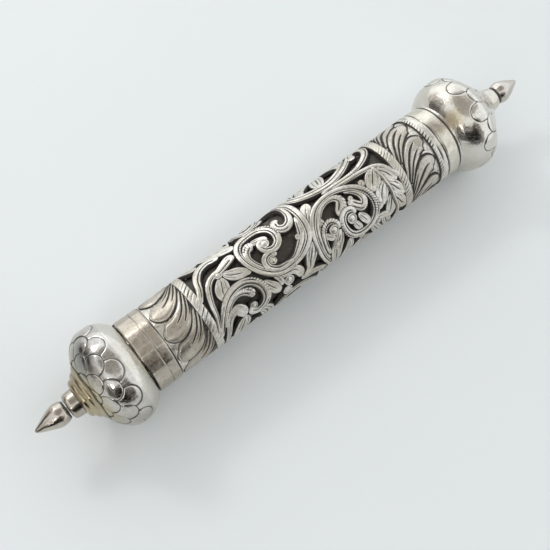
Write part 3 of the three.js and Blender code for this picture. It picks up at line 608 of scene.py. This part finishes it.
# ---- ferrules ----
def ferrule_field(lines, seed, facets, flatness):
    """Plain hand-worked metal, beaten nearly flat in places, with uneven engraved lines, and bevelled ends
    darkened as painted shade in the joints.
    """
    def field(x, radius, along, angle):
        relief = 0.03 * waves(seed, 7, x, angle) + 0.012 * waves(seed + 1, 2.2, x, angle)
        half = math.pi / facets
        uneven = angle + 0.11 * np.sin(3 * angle + seed) + 0.06 * np.sin(7 * angle)
        local = (uneven % (2 * half)) - half
        relief = relief + flatness * radius * (np.cos(half) / np.cos(local) - 1)
        polish_and_shade = 1
        for k, (at, width) in enumerate(lines):
            wander = at + 0.07 * waves(seed + 2 + k, 40, 0, angle)
            depth = np.clip(0.65 + 0.5 * waves(seed + 12 + k, 30, 0, angle * 2), 0.1, 1)
            cut = bump(x - wander, width) * depth
            relief = relief - 0.1 * cut
            polish_and_shade = polish_and_shade - 0.8 * cut
        # Painted shade in the joints: both ends darken, by an amount that varies round the ring.
        reach = 0.25 + 0.2 * np.clip(waves(seed + 20, 30, 0, angle), 0, 1)
        depth = np.clip(0.55 + 0.9 * waves(seed + 21, 30, 0, angle), 0.15, 1)
        from_end = np.minimum(along, along[-1] - along) / reach
        relief = relief - 0.14 * (1 - ramp(from_end, 0, 1))
        return relief, polish_and_shade - depth * (1 - ramp(from_end, 0.1, 1))
    return field


def tube_ring(x0, x1, bore, sides, field):
    """A ring as wide as the tube."""
    shell = Shell()
    outer = [(x, TUBE_R) for x in np.linspace(x0, x1, round((x1 - x0) / 0.1) + 1)]
    spin(shell, outer, [(x1, bore), (x0, bore)], sides=sides, field=field)
    return shell


# ---- bulbs ----
PILLOW = 0.13                    # how far a scale stands proud of the bulb
SCALE_STEP = 0.12                # spacing of a bulb's surface points
# Each bulb is a quarter ellipse on each side of a short flat land at its widest, with their
# reaches towards -X and +X. Past its shoulder the foot bulb is a cone: (first station, last
# station, radius there).
CAP_BULB = {"centre": DOME_END - 2.35, "land": 1.2, "reaches": (6.9, 7.4)}
FOOT_BULB = {"centre": FOOT_START + 6.9, "land": 1.2, "reaches": (8.4, 5.6),
             "cone": (FOOT_START + 10.05, FOOT_END, 3.3)}
FOOT_BULB_NECK = TUBE_R - 0.12   # the foot bulb narrows no further than this towards the tube
# Rows of scales, from the widest part to the finial: (station of their round ends, radius).
# Side is 1 where the finial lies towards -X, and turn is in degrees.
CAP_SCALES = {"count": 11, "turn": -3, "side": 1, "seam": DOME_START,
              "rows": [(-48.8, 2.6), (-51.3, 2.5), (-53.9, 2.4), (-56, 2)]}
FOOT_SCALES = {"count": 9, "turn": 6, "side": -1, "seam": FOOT_START,
               "rows": [(48.4, 2.3), (50.9, 2.3), (53.3, 2.2), (55.4, 2), (57.3, 1.7)]}


def ellipse_radius(bulb, x, inset):
    away = x - bulb["centre"]
    reach = np.where(away < 0, *bulb["reaches"]) - inset
    beyond = np.maximum(0, abs(away) - bulb["land"] / 2) / reach
    return (BULB_R - PILLOW - inset) * np.sqrt(np.clip(1 - beyond**2, 0, 1))


def bulb_radius(bulb, x, inset):
    radius = ellipse_radius(bulb, x, inset)
    if "cone" in bulb:
        start, end, end_radius = bulb["cone"]
        shoulder = ellipse_radius(bulb, start, inset)
        cone = np.interp(x, [start, end], [shoulder, end_radius - 1.5 * inset])
        radius = np.where(x > start, cone, radius)
        necked = np.maximum(radius, FOOT_BULB_NECK - inset)
        radius = np.where(x < bulb["centre"], necked, radius)
    return radius


def bulb_line(bulb, x0, x1, step, inset=0):
    x = np.linspace(x0, x1, 1500)
    line, _ = resampled(np.column_stack([x, bulb_radius(bulb, x, inset)]), step)
    return line


def scale_field(scales, seed):
    """Overlapping engraved scales. Those nearer the finial lie over the row before."""
    def field(x, radius, along, angle):
        side = scales["side"]
        pitch = 2 * math.pi / scales["count"]
        relief = 0.03 * waves(seed, 9, x, angle) + 0.01 * waves(seed + 1, 3, x, angle)
        polish_and_shade = 1
        free = 1
        for row, (rim, size) in reversed(list(enumerate(scales["rows"]))):
            centre = np.interp(rim, x[:, 0], along[:, 0]) - side * size
            phase = DRAWING_ANGLE + math.radians(scales["turn"]) + pitch * (row % 2) / 2
            place = (angle - phase) / pitch
            lateral = (place - np.round(place)) * pitch * radius
            lateral = lateral + 0.1 * waves(seed + 5 + row, 7, x, angle)
            ahead = (along - centre) * side
            flare = size * (1 + 0.22 * np.clip(-ahead / size, 0, 2) ** 2)
            reach = np.where(ahead > 0, np.hypot(ahead, lateral) / size, abs(lateral) / flare)
            edge = (reach - 1) * size
            line = bump(edge, 0.13) * free
            pillow = PILLOW * (1 - np.clip(reach, 0, 1) ** 3)
            relief = relief + (edge < 0) * free * pillow - 0.11 * line
            polish_and_shade = polish_and_shade - 0.92 * line
            free = free * ramp(edge, 0, 0.16)
        # A groove at the seam, darkened as painted shade in the joint with the next piece.
        seam = bump(x - scales["seam"], 0.24)
        return relief - 0.08 * seam, polish_and_shade - 0.9 * seam
    return field


def bulb_shell(bulb, x0, x1, holes, field):
    """One sheet of a bulb between two stations. Each hole is the radius of the opening at
    that end, or None where the sheet's edge meets the next piece."""
    outer = bulb_line(bulb, x0, x1, SCALE_STEP)
    inset = SHELL_THICKNESS
    inner_x0 = x0 if holes[0] is None else x0 + inset
    inner_x1 = x1 if holes[1] is None else x1 - inset
    inner = bulb_line(bulb, inner_x0, inner_x1, 0.8, inset)[::-1].tolist()
    if holes[1] is not None:
        inner = [(x1, holes[1]), (x1 - inset, holes[1])] + inner
    if holes[0] is not None:
        inner = inner + [(x0 + inset, holes[0]), (x0, holes[0])]
    shell = Shell()
    spin(shell, outer, inner, sides=560, field=field)
    return shell


def base_field(x, radius, along, angle):
    """The cap's smooth underside, with a faint line where it meets the dome."""
    relief = 0.03 * waves(61, 8, x, angle)
    seam = bump(along - 0.05, 0.07)
    return relief - 0.03 * seam, 1 - 0.35 * seam


def uneven_darkened_field(seed, darkest, dark_end):
    """Slight unevenness, and darkening that gathers at the end towards -X, where dark_end is -1,
    or +X, where it is 1, or at both, where it is 0."""
    def field(x, radius, along, angle):
        share = along / along[-1]
        from_end = {-1: share, 0: np.minimum(share, 1 - share), 1: 1 - share}[dark_end]
        relief = 0.012 * waves(seed, 3, x, angle) * np.clip(radius / 0.5, 0, 1)
        return relief, 1 - darkest * (1 - ramp(from_end, 0, 0.14))
    return field


# ---- building a Blender piece ----
def placed(name, data):
    """A new object of the scene."""
    thing = bpy.data.objects.new(name, data)
    bpy.context.scene.collection.objects.link(thing)
    return thing


def make(name, shell, body, material, replaced):
    mesh = bpy.data.meshes.new(name)
    mesh.from_pydata(np.concatenate(shell.points).tolist(), [], shell.faces)
    polish_and_shade = np.concatenate(shell.polish_and_shade)
    colour = mesh.color_attributes.new("polish_and_shade", "FLOAT_COLOR", "POINT")
    rgba = np.column_stack([polish_and_shade, polish_and_shade, polish_and_shade, np.ones_like(polish_and_shade)])
    colour.data.foreach_set("color", rgba.astype(np.float32).reshape(-1))
    mesh.shade_smooth()
    mesh.set_sharp_from_angle(angle=math.radians(50))
    mesh.materials.append(material)
    piece = placed(name, mesh)
    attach(piece, body)
    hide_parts(replaced)


def paint(node, material):
    """Gives a carried-over CAD node its finish."""
    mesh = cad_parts[node].data
    mesh.materials.clear()
    mesh.materials.append(material)


# ---- materials ----
class Nodes:
    """The nodes of a material or of the world, made one at a time."""

    def __init__(self, owner):
        owner.use_nodes = True
        self.owner = owner
        self.tree = owner.node_tree

    def add(self, kind, inputs=None, **settings):
        node = self.tree.nodes.new("ShaderNode" + kind)
        for key, value in settings.items():
            setattr(node, key, value)
        self.feed(node, inputs or {})
        return node

    def feed(self, node, inputs):
        """Links or sets a node's inputs. Colours are (red, green, blue)."""
        for key, value in inputs.items():
            socket = node.inputs[key]
            if isinstance(value, bpy.types.NodeSocket):
                self.tree.links.new(value, socket)
            elif socket.type == "RGBA":
                socket.default_value = (*value, 1)
            else:
                socket.default_value = value

    def ramp(self, value, low, high, start=0, end=1):
        inputs = {0: value, 1: low, 2: high, 3: start, 4: end}
        return self.add("MapRange", inputs, interpolation_type="SMOOTHSTEP").outputs[0]

    def sum(self, *values, operation="ADD"):
        total = values[0]
        for value in values[1:]:
            total = self.add("Math", {0: total, 1: value}, operation=operation).outputs[0]
        return total

    def product(self, *values):
        return self.sum(*values, operation="MULTIPLY")

    def mix(self, factor, first, second):
        mixed = self.add("Mix", data_type="RGBA")
        self.feed(mixed, {0: factor, 6: first, 7: second})
        return mixed.outputs[2]


class Finish(Nodes):
    """The nodes of a new material. Their place is in millimetres."""

    def __init__(self, name):
        super().__init__(bpy.data.materials.new(name))
        coordinates = self.add("TexCoord").outputs["Object"]
        self.place = self.add("Mapping", {"Vector": coordinates, "Scale": (1 / MM,) * 3}).outputs[0]

    def noise(self, scale, detail=3, roughness=0.55, place=None):
        """Noise whose scale is in turns per millimetre."""
        inputs = {"Vector": place or self.place, "Scale": scale, "Detail": detail, "Roughness": roughness}
        return self.add("TexNoise", inputs).outputs[0]

    def scratches(self, turn, width):
        """Thin stretched lines, 1 in the scratch and 0 beside it."""
        stretched = self.add("Mapping", {"Vector": self.place, "Rotation": turn, "Scale": (0.12, 2.6, 2.6)})
        value = self.noise(1, 2, 0.5, stretched.outputs[0])
        from_middle = self.sum(value, 0.5, operation="SUBTRACT")
        size = self.add("Math", {0: from_middle}, operation="ABSOLUTE").outputs[0]
        return self.ramp(size, width, 0)

    def shaded(self, colour, metallic, roughness, height=0, strength=1, depth=0):
        """The finished material. Depth is how deep a height of 1 looks, in millimetres."""
        inputs = {"Base Color": colour, "Metallic": metallic, "Roughness": roughness}
        if depth:
            bump_inputs = {"Height": height, "Strength": strength, "Distance": depth * MM}
            inputs["Normal"] = self.add("Bump", bump_inputs).outputs[0]
        self.feed(self.tree.nodes["Principled BSDF"], inputs)
        return self.owner


# Near black, for black patina in recesses and for painted shade along edges and feet.
BLACK_PATINA_AND_SHADE = (0.055, 0.05, 0.044)
SOOT = (0.24, 0.22, 0.19)


def silver(name, tint, tarnish, share, roughness, scratching, dullness=0, grime=0.35, soot=0.2, gilt=None,
           tint_patch=None):
    """Worn silver: bright on its raised parts, cloudy with a share of tarnish, scratched, and black in its
    recesses: black patina in engraved lines, and painted shade along the edges and feet of raised parts,
    as the polish_and_shade value gives. Dullness is the recesses' extra roughness where they begin, grime
    how ragged the edges of the black are, and soot how dark its small smudges are. Gilt is a colour that
    takes over towards the cap's finial. A tint patch is (middle, reach, colour): a stain on the foot bulb,
    and a painted dark reflection on the dome."""
    n = Finish(name)
    polish_and_shade = n.add("Attribute", attribute_name="polish_and_shade").outputs["Fac"]
    cloud = n.noise(0.14, 4)
    blotch = n.noise(0.7, 5, 0.65)
    grain = n.noise(5, 3, 0.6)
    smudge = n.noise(1.7, 4, 0.7)
    wobble = n.noise(0.32, 2, 0.5)
    fine = n.scratches((0.4, 0.9, 0.3), 0.012)
    crossing = n.scratches((1.1, 0.2, 1.2), 0.009)
    scratch = n.sum(fine, crossing, operation="MAXIMUM")
    tarnished = n.ramp(n.sum(cloud, n.product(blotch, 0.35)), 0.52, 0.86, 0, share)
    metal = n.mix(tarnished, tint, tarnish)
    if gilt:
        station = n.add("SeparateXYZ", {0: n.place}).outputs[0]
        uneven_edge = n.sum(station, n.product(blotch, 3))
        metal = n.mix(n.ramp(uneven_edge, DOME_START + 4.2, DOME_START + 1.2), metal, gilt)
    # A tint patch: a real stain on the foot bulb, and on the dome a painted dark reflection.
    if tint_patch:
        middle, reach, patch_colour = tint_patch
        away = n.add("VectorMath", {0: n.place, 1: middle}, operation="DISTANCE").outputs["Value"]
        ragged = n.sum(away, n.product(blotch, 0.9 * reach))
        metal = n.mix(n.ramp(ragged, 1.5 * reach, 0.6 * reach), metal, patch_colour)
    metal = n.mix(n.ramp(smudge, 0.48, 0.72, 0, soot), metal, SOOT)
    speckle = n.sum(n.sum(grain, smudge), 1, operation="SUBTRACT")
    # Black patina and painted shade: the polish_and_shade value, made ragged by grime, picks where the
    # metal turns black.
    clean_and_unshaded = n.ramp(n.sum(polish_and_shade, n.product(speckle, grime)), 0.18, 0.8)
    uneven = n.ramp(blotch, 0.3, 0.7, roughness * 0.75, roughness * 1.35)
    rough = n.sum(uneven, n.ramp(clean_and_unshaded, 1, 0, dullness, 0.38), n.product(scratch, 0.08))
    height = n.sum(wobble, n.product(grain, 0.012), n.product(scratch, -0.02 * scratching))
    metallic = n.ramp(clean_and_unshaded, 0, 0.5, 0.35, 1)
    return n.shaded(n.mix(clean_and_unshaded, BLACK_PATINA_AND_SHADE, metal), metallic, rough, height, 0.6, 0.3)


def dark_lining(name):
    """Blackened, dusty metal seen through the piercing."""
    n = Finish(name)
    dust = n.ramp(n.noise(1.1, 5, 0.6), 0.5, 0.8)
    tint_patch = n.noise(0.3, 3)
    metal = n.mix(tint_patch, (0.05, 0.045, 0.039), (0.085, 0.074, 0.062))
    colour = n.mix(dust, metal, (0.19, 0.165, 0.14))
    return n.shaded(colour, 0.55, n.ramp(tint_patch, 0.3, 0.7, 0.42, 0.62), n.noise(3, 4), 0.4, 0.05)


def plain_silver(name):
    """The finish of the pieces inside, whose meshes carry no polish_and_shade value."""
    n = Finish(name)
    blotch = n.noise(0.5, 4)
    colour = n.mix(n.ramp(blotch, 0.35, 0.7), (0.66, 0.63, 0.58), (0.42, 0.38, 0.31))
    return n.shaded(colour, 1, n.ramp(blotch, 0.3, 0.7, 0.24, 0.42), n.noise(2.5, 3), 0.25, 0.05)


# Name, tint, tarnish, share of tarnish, roughness, scratching.
CHASING = {"dullness": 0.02, "grime": 0.75, "soot": 0.6}
CHASED = silver("chased_silver", (0.81, 0.78, 0.725), (0.58, 0.53, 0.435), 0.7, 0.34, 0.6, **CHASING)
FAN_SILVER = silver("fan_silver", (0.67, 0.635, 0.58), (0.5, 0.45, 0.375), 0.7, 0.4, 0.6, **CHASING)
TONGUE_SILVER = silver("tongue_silver", (0.585, 0.54, 0.475), (0.45, 0.395, 0.32), 0.75, 0.32, 0.6,
                       dullness=0.02, grime=0.6, soot=0.6)
POLISHED = silver("polished_silver", (0.735, 0.705, 0.65), (0.62, 0.57, 0.48), 0.6, 0.17, 1)
BULB = silver("bulb_silver", (0.745, 0.715, 0.67), (0.6, 0.55, 0.465), 0.6, 0.15, 1,
              tint_patch=((45.5, -2, 21.5), 3.4, (0.52, 0.44, 0.3)))
RING = silver("ring_silver", (0.72, 0.68, 0.6), (0.58, 0.52, 0.42), 0.7, 0.22, 0.8)
BROWNED = silver("browned_silver", (0.58, 0.53, 0.455), (0.43, 0.375, 0.31), 0.8, 0.28, 0.8, soot=0.35)
# The dome's tint patch, grey on its top towards the finial, is a painted reflection of a dark part of the
# room.
DOME = silver("dome_silver", (0.66, 0.63, 0.6), (0.47, 0.44, 0.39), 0.8, 0.17, 1, soot=0.4,
              gilt=(0.48, 0.42, 0.28), tint_patch=((-54.2, 3.4, 22.4), 7, (0.3, 0.29, 0.275)))
GILT = silver("gilt_tarnish", (0.5, 0.43, 0.29), (0.32, 0.26, 0.16), 0.95, 0.18, 0.7, soot=0.5)
DROP = silver("grey_silver", (0.575, 0.525, 0.465), (0.42, 0.37, 0.31), 0.7, 0.16, 0.7)
PALE_DROP = silver("pale_drop_silver", (0.68, 0.63, 0.59), (0.5, 0.45, 0.4), 0.7, 0.18, 0.7)
LINING = dark_lining("dark_lining")
INNER = plain_silver("inner_silver")


# ---- the pieces ----
def barrel_piece(name, shell, material):
    make(name, shell, "case", material, "openwork_barrel")


def barrel():
    ground = Shell()
    for x0, x1 in ((BARREL_START, MOUTH_ROPE[0]), (FOOT_ROPE[1], HATCHED_BAND[0])):
        outer = [(x, GROUND_R) for x in np.linspace(x0, x1, 60)]
        spin(ground, outer, [(x1, TUBE_BORE), (x0, TUBE_BORE)], sides=360, field=ground_field)
    barrel_piece("barrel_scrollwork", scrollwork(), CHASED)
    barrel_piece("barrel_ground", ground, CHASED)
    barrel_piece("barrel_tongues", lobes(TONGUES), TONGUE_SILVER)
    barrel_piece("barrel_fans", lobes(FANS), FAN_SILVER)
    bands = [
        ("barrel_rope_mouth", MOUTH_ROPE, rope_field(1.3, 0.9, 11)),
        ("barrel_rope_foot", FOOT_ROPE, rope_field(0.95, 0.85, 21)),
        ("barrel_hatched_band", HATCHED_BAND, hatched_field),
    ]
    for name, (x0, x1), field in bands:
        barrel_piece(name, tube_ring(x0, x1, TUBE_BORE, 720, field), CHASED)


def lining():
    shell = Shell()
    outer = [(LINER_START, LINER_R), (LINER_START + 0.1, LINER_R), (LINER_END, LINER_R)]
    spin(shell, outer, [(LINER_END, LINER_BORE), (LINER_START, LINER_BORE)], sides=160)
    make("needle_tube_round", shell, "case", LINING, "needle_tube")
    paint("needle_tube_end", LINING)


def ferrules():
    lines = [(MOUTH_START + 3.7, 0.12), (MOUTH_END - 0.1, 0.1)]
    field = ferrule_field(lines, 51, facets=15, flatness=0.42)
    mouth = tube_ring(MOUTH_START, BARREL_START - HALF_GAP, FERRULE_BORE, 400, field)
    make("mouth_ferrule_band", mouth, "case", BROWNED, "mouth_ferrule")
    field = ferrule_field([(FERRULE_START + 0.35, 0.1)], 55, facets=11, flatness=0.12)
    foot = tube_ring(FERRULE_START, FOOT_START - HALF_GAP, FERRULE_BORE, 400, field)
    make("foot_ferrule_band", foot, "case", RING, "foot_ferrule")


def bulbs():
    holes = (TUBE_R - 1, STUD_HOLE_R)
    foot = bulb_shell(FOOT_BULB, FOOT_START - HALF_GAP, FOOT_END, holes, scale_field(FOOT_SCALES, 201))
    make("foot_bulb_scales", foot, "case", BULB, "foot_bulb")
    joint = (DOME_END + BASE_START) / 2
    dome = bulb_shell(CAP_BULB, DOME_START, joint, (None, None), scale_field(CAP_SCALES, 211))
    make("cap_dome_scales", dome, "cap", DOME, "cap_dome")
    base = bulb_shell(CAP_BULB, joint, BASE_END, (None, SLEEVE_R + 0.3), base_field)
    make("cap_base_bowl", base, "cap", POLISHED, "cap_base_shell")


def sleeve():
    start, end = span("cap_sleeve")
    flange_end, flange_r = start + 0.7, 8
    outer = [
        (start, flange_r), (flange_end, flange_r), (flange_end + 0.02, SLEEVE_R), (start + 2, SLEEVE_R),
        (end - 0.3, SLEEVE_R), (end - 0.12, SLEEVE_R - 0.05), (end, SLEEVE_R - 0.2),
    ]
    inner = [(end, SLEEVE_BORE + 0.1), (end - 0.2, SLEEVE_BORE), (start, SLEEVE_BORE)]
    shell = Shell()
    spin(shell, outer, inner, sides=160)
    make("cap_sleeve_round", shell, "cap", POLISHED, "cap_sleeve")
    paint("cap_sleeve_end", LINING)


# ---- finials ----
# Outlines from low x to high x: share of the length, radius.
SEAT_OUTLINE = [
    (0, 3.4), (0.04, 3.9), (0.12, 4.4), (0.24, 4.65), (0.34, 4.72), (0.4, 5), (0.5, 5.45), (0.62, 5.75),
    (0.7, 5.85), (0.76, 6.2), (0.87, 6.75), (1, 7.05),
]
CAP_COLLAR = [(0, 2.1), (0.05, 2.6), (0.16, 2.92), (0.36, 3.08), (0.7, 3.14), (0.95, 3.18), (1, 3.15)]
CAP_DROP = [
    (0, POLE_R), (0.012, 0.3), (0.06, 0.55), (0.17, 1), (0.4, 1.87), (0.57, 2.4), (0.71, 2.68),
    (0.83, 2.62), (0.94, 2.35), (1, 1.95),
]
FOOT_COLLAR = [(0, 3.3), (0.06, 3.25), (0.3, 3.05), (0.65, 2.82), (0.88, 2.55), (1, 2.2)]
FOOT_DROP = [(1 - share, radius) for share, radius in reversed(CAP_DROP)]


def finial(name, node, body, material, outline, field, gaps=(0, 0), hole=STUD_HOLE_R, step=0.08, sides=120):
    """A turned piece between a node's two ends, made longer there by the gaps."""
    x0, x1 = span(node)
    x0, x1 = x0 - gaps[0], x1 + gaps[1]
    line, _ = resampled(curved([(x0 + share * (x1 - x0), radius) for share, radius in outline]), step)
    shell = Shell()
    spin(shell, line, [(x1, hole), (x0, hole)] if hole else [], sides, field)
    make(name, shell, body, material, node)


def cap_finial():
    finial("cap_seat_rings", "cap_finial_seat", "cap", GILT, SEAT_OUTLINE, uneven_darkened_field(71, 0.55, 0),
           gaps=(HALF_GAP, 2 * HALF_GAP), step=0.09, sides=160)
    finial("cap_collar_turned", "cap_finial_collar", "cap", DROP, CAP_COLLAR, uneven_darkened_field(72, 0.6, -1),
           gaps=(0, HALF_GAP))
    finial("cap_drop_turned", "cap_finial_drop", "cap", DROP, CAP_DROP, uneven_darkened_field(73, 0.7, 1), hole=None)
    paint("cap_finial_stud", INNER)


def foot_finial():
    finial("foot_collar_turned", "foot_finial_collar", "case", POLISHED, FOOT_COLLAR,
           uneven_darkened_field(74, 0.6, 1), gaps=(2 * HALF_GAP, 0))
    finial("foot_drop_turned", "foot_finial_drop", "case", PALE_DROP, FOOT_DROP,
           uneven_darkened_field(75, 0.7, -1), hole=None)
    paint("foot_finial_stud", INNER)


# ---- stage, light and camera ----
CENTRE = Vector((0, 0, AXIS_Z * MM))
LOOK_AT = CENTRE + Vector((-8.8, -3.2, -1.1)) * MM
VIEW_TURN = math.radians(-38.87)  # the camera's place round the case, and its height
VIEW_RISE = math.radians(66.5)
VIEW_BACK = Vector((
    math.sin(VIEW_TURN) * math.cos(VIEW_RISE),
    -math.cos(VIEW_TURN) * math.cos(VIEW_RISE),
    math.sin(VIEW_RISE),
))
VIEW_DISTANCE = 200.8 * MM
LENS = 57.74                     # focal length and sensor width
SENSOR = 36


def aimed(name, data, target, way, distance):
    """A camera or lamp that looks at a target from a distance."""
    holder = placed(name, data)
    holder.location = target + way * distance
    holder.rotation_mode = "QUATERNION"
    holder.rotation_quaternion = way.to_track_quat("Z", "Y")
    return holder


def camera():
    data = bpy.data.cameras.new("camera")
    data.sensor_width = SENSOR
    data.lens = LENS
    data.clip_start = 0.01
    data.clip_end = 20
    bpy.context.scene.camera = aimed("camera", data, LOOK_AT, VIEW_BACK, VIEW_DISTANCE)


def floor():
    reach = 4                        # metres to each side
    mesh = bpy.data.meshes.new("floor")
    corners = [(-reach, -reach, 0), (reach, -reach, 0), (reach, reach, 0), (-reach, reach, 0)]
    mesh.from_pydata(corners, [], [(0, 1, 2, 3)])
    n = Finish("pale_paper")
    shade = n.mix(n.noise(0.02), (0.845, 0.872, 0.88), (0.865, 0.892, 0.897))
    mesh.materials.append(n.shaded(shade, 0, 0.7))
    plane = placed("floor", mesh)
    plane.location.z = -0.02 * MM    # just clear of the case


def lamp(name, direction, distance, size, watts, colour=(1, 1, 1)):
    """A round soft lamp that faces the case, with its distance and size in metres."""
    data = bpy.data.lights.new(name, "AREA")
    data.shape = "DISK"
    data.size = size
    data.energy = watts
    data.color = colour
    aimed(name, data, CENTRE, Vector(direction).normalized(), distance)


# Darker things in the room, which the bulbs reflect: direction, cosines of the angles from it
# where each starts and is darkest, and how dark it is.
DARK_PATCHES = [
    ((-0.52, 0.8, 0.22), 0.87, 0.95, 0.72),     # beyond the case, to the left
    ((-0.78, 0.55, 0.05), 0.86, 0.94, 0.75),    # the far left
    ((-0.72, -0.62, 0.28), 0.88, 0.94, 0.93),   # the near side
    ((-0.35, -0.86, 0.36), 0.88, 0.93, 0.86),
    ((0, -0.86, 0.5), 0.9, 0.95, 0.82),
    ((-0.2, -0.97, 0.1), 0.88, 0.95, 0.85),
    ((0.15, 0.1, 1), 0.8, 0.92, 0.62),          # overhead
    ((-0.95, 0.05, 0.4), 0.86, 0.96, 0.45),     # past the cap
]
ROOM_STRENGTH = 1.22
ROOM_LIGHT = (0.93, 0.975, 1)
ROOM_DARK = (1, 0.89, 0.77)


def sky():
    """An even bright room with dark, brownish patches in it."""
    world = bpy.data.worlds.new("room")
    bpy.context.scene.world = world
    n = Nodes(world)
    place = n.add("TexCoord").outputs["Generated"]
    shades = []
    for direction, low, high, depth in DARK_PATCHES:
        toward = Vector(direction).normalized()
        near = n.add("VectorMath", {0: place, 1: toward}, operation="DOT_PRODUCT").outputs["Value"]
        shades.append(n.ramp(near, low, high, 1, 1 - depth))
    clear = n.product(*shades)
    colour = n.mix(clear, ROOM_DARK, ROOM_LIGHT)
    n.feed(n.tree.nodes["Background"], {"Color": colour, "Strength": n.product(clear, ROOM_STRENGTH)})


def lights():
    sky()
    lamp("window", (0.05, 0.92, 0.48), 0.9, 1.2, 1.3)
    lamp("key", (-0.14, 0.75, 0.65), 0.55, 0.09, 0.36)
    lamp("lamp_left", (-0.69, -0.44, 0.58), 0.5, 0.06, 0.12, (1, 0.98, 0.94))
    bpy.context.scene.view_settings.view_transform = "Standard"


camera()
floor()
lights()
barrel()
lining()
ferrules()
bulbs()
sleeve()
cap_finial()
foot_finial()
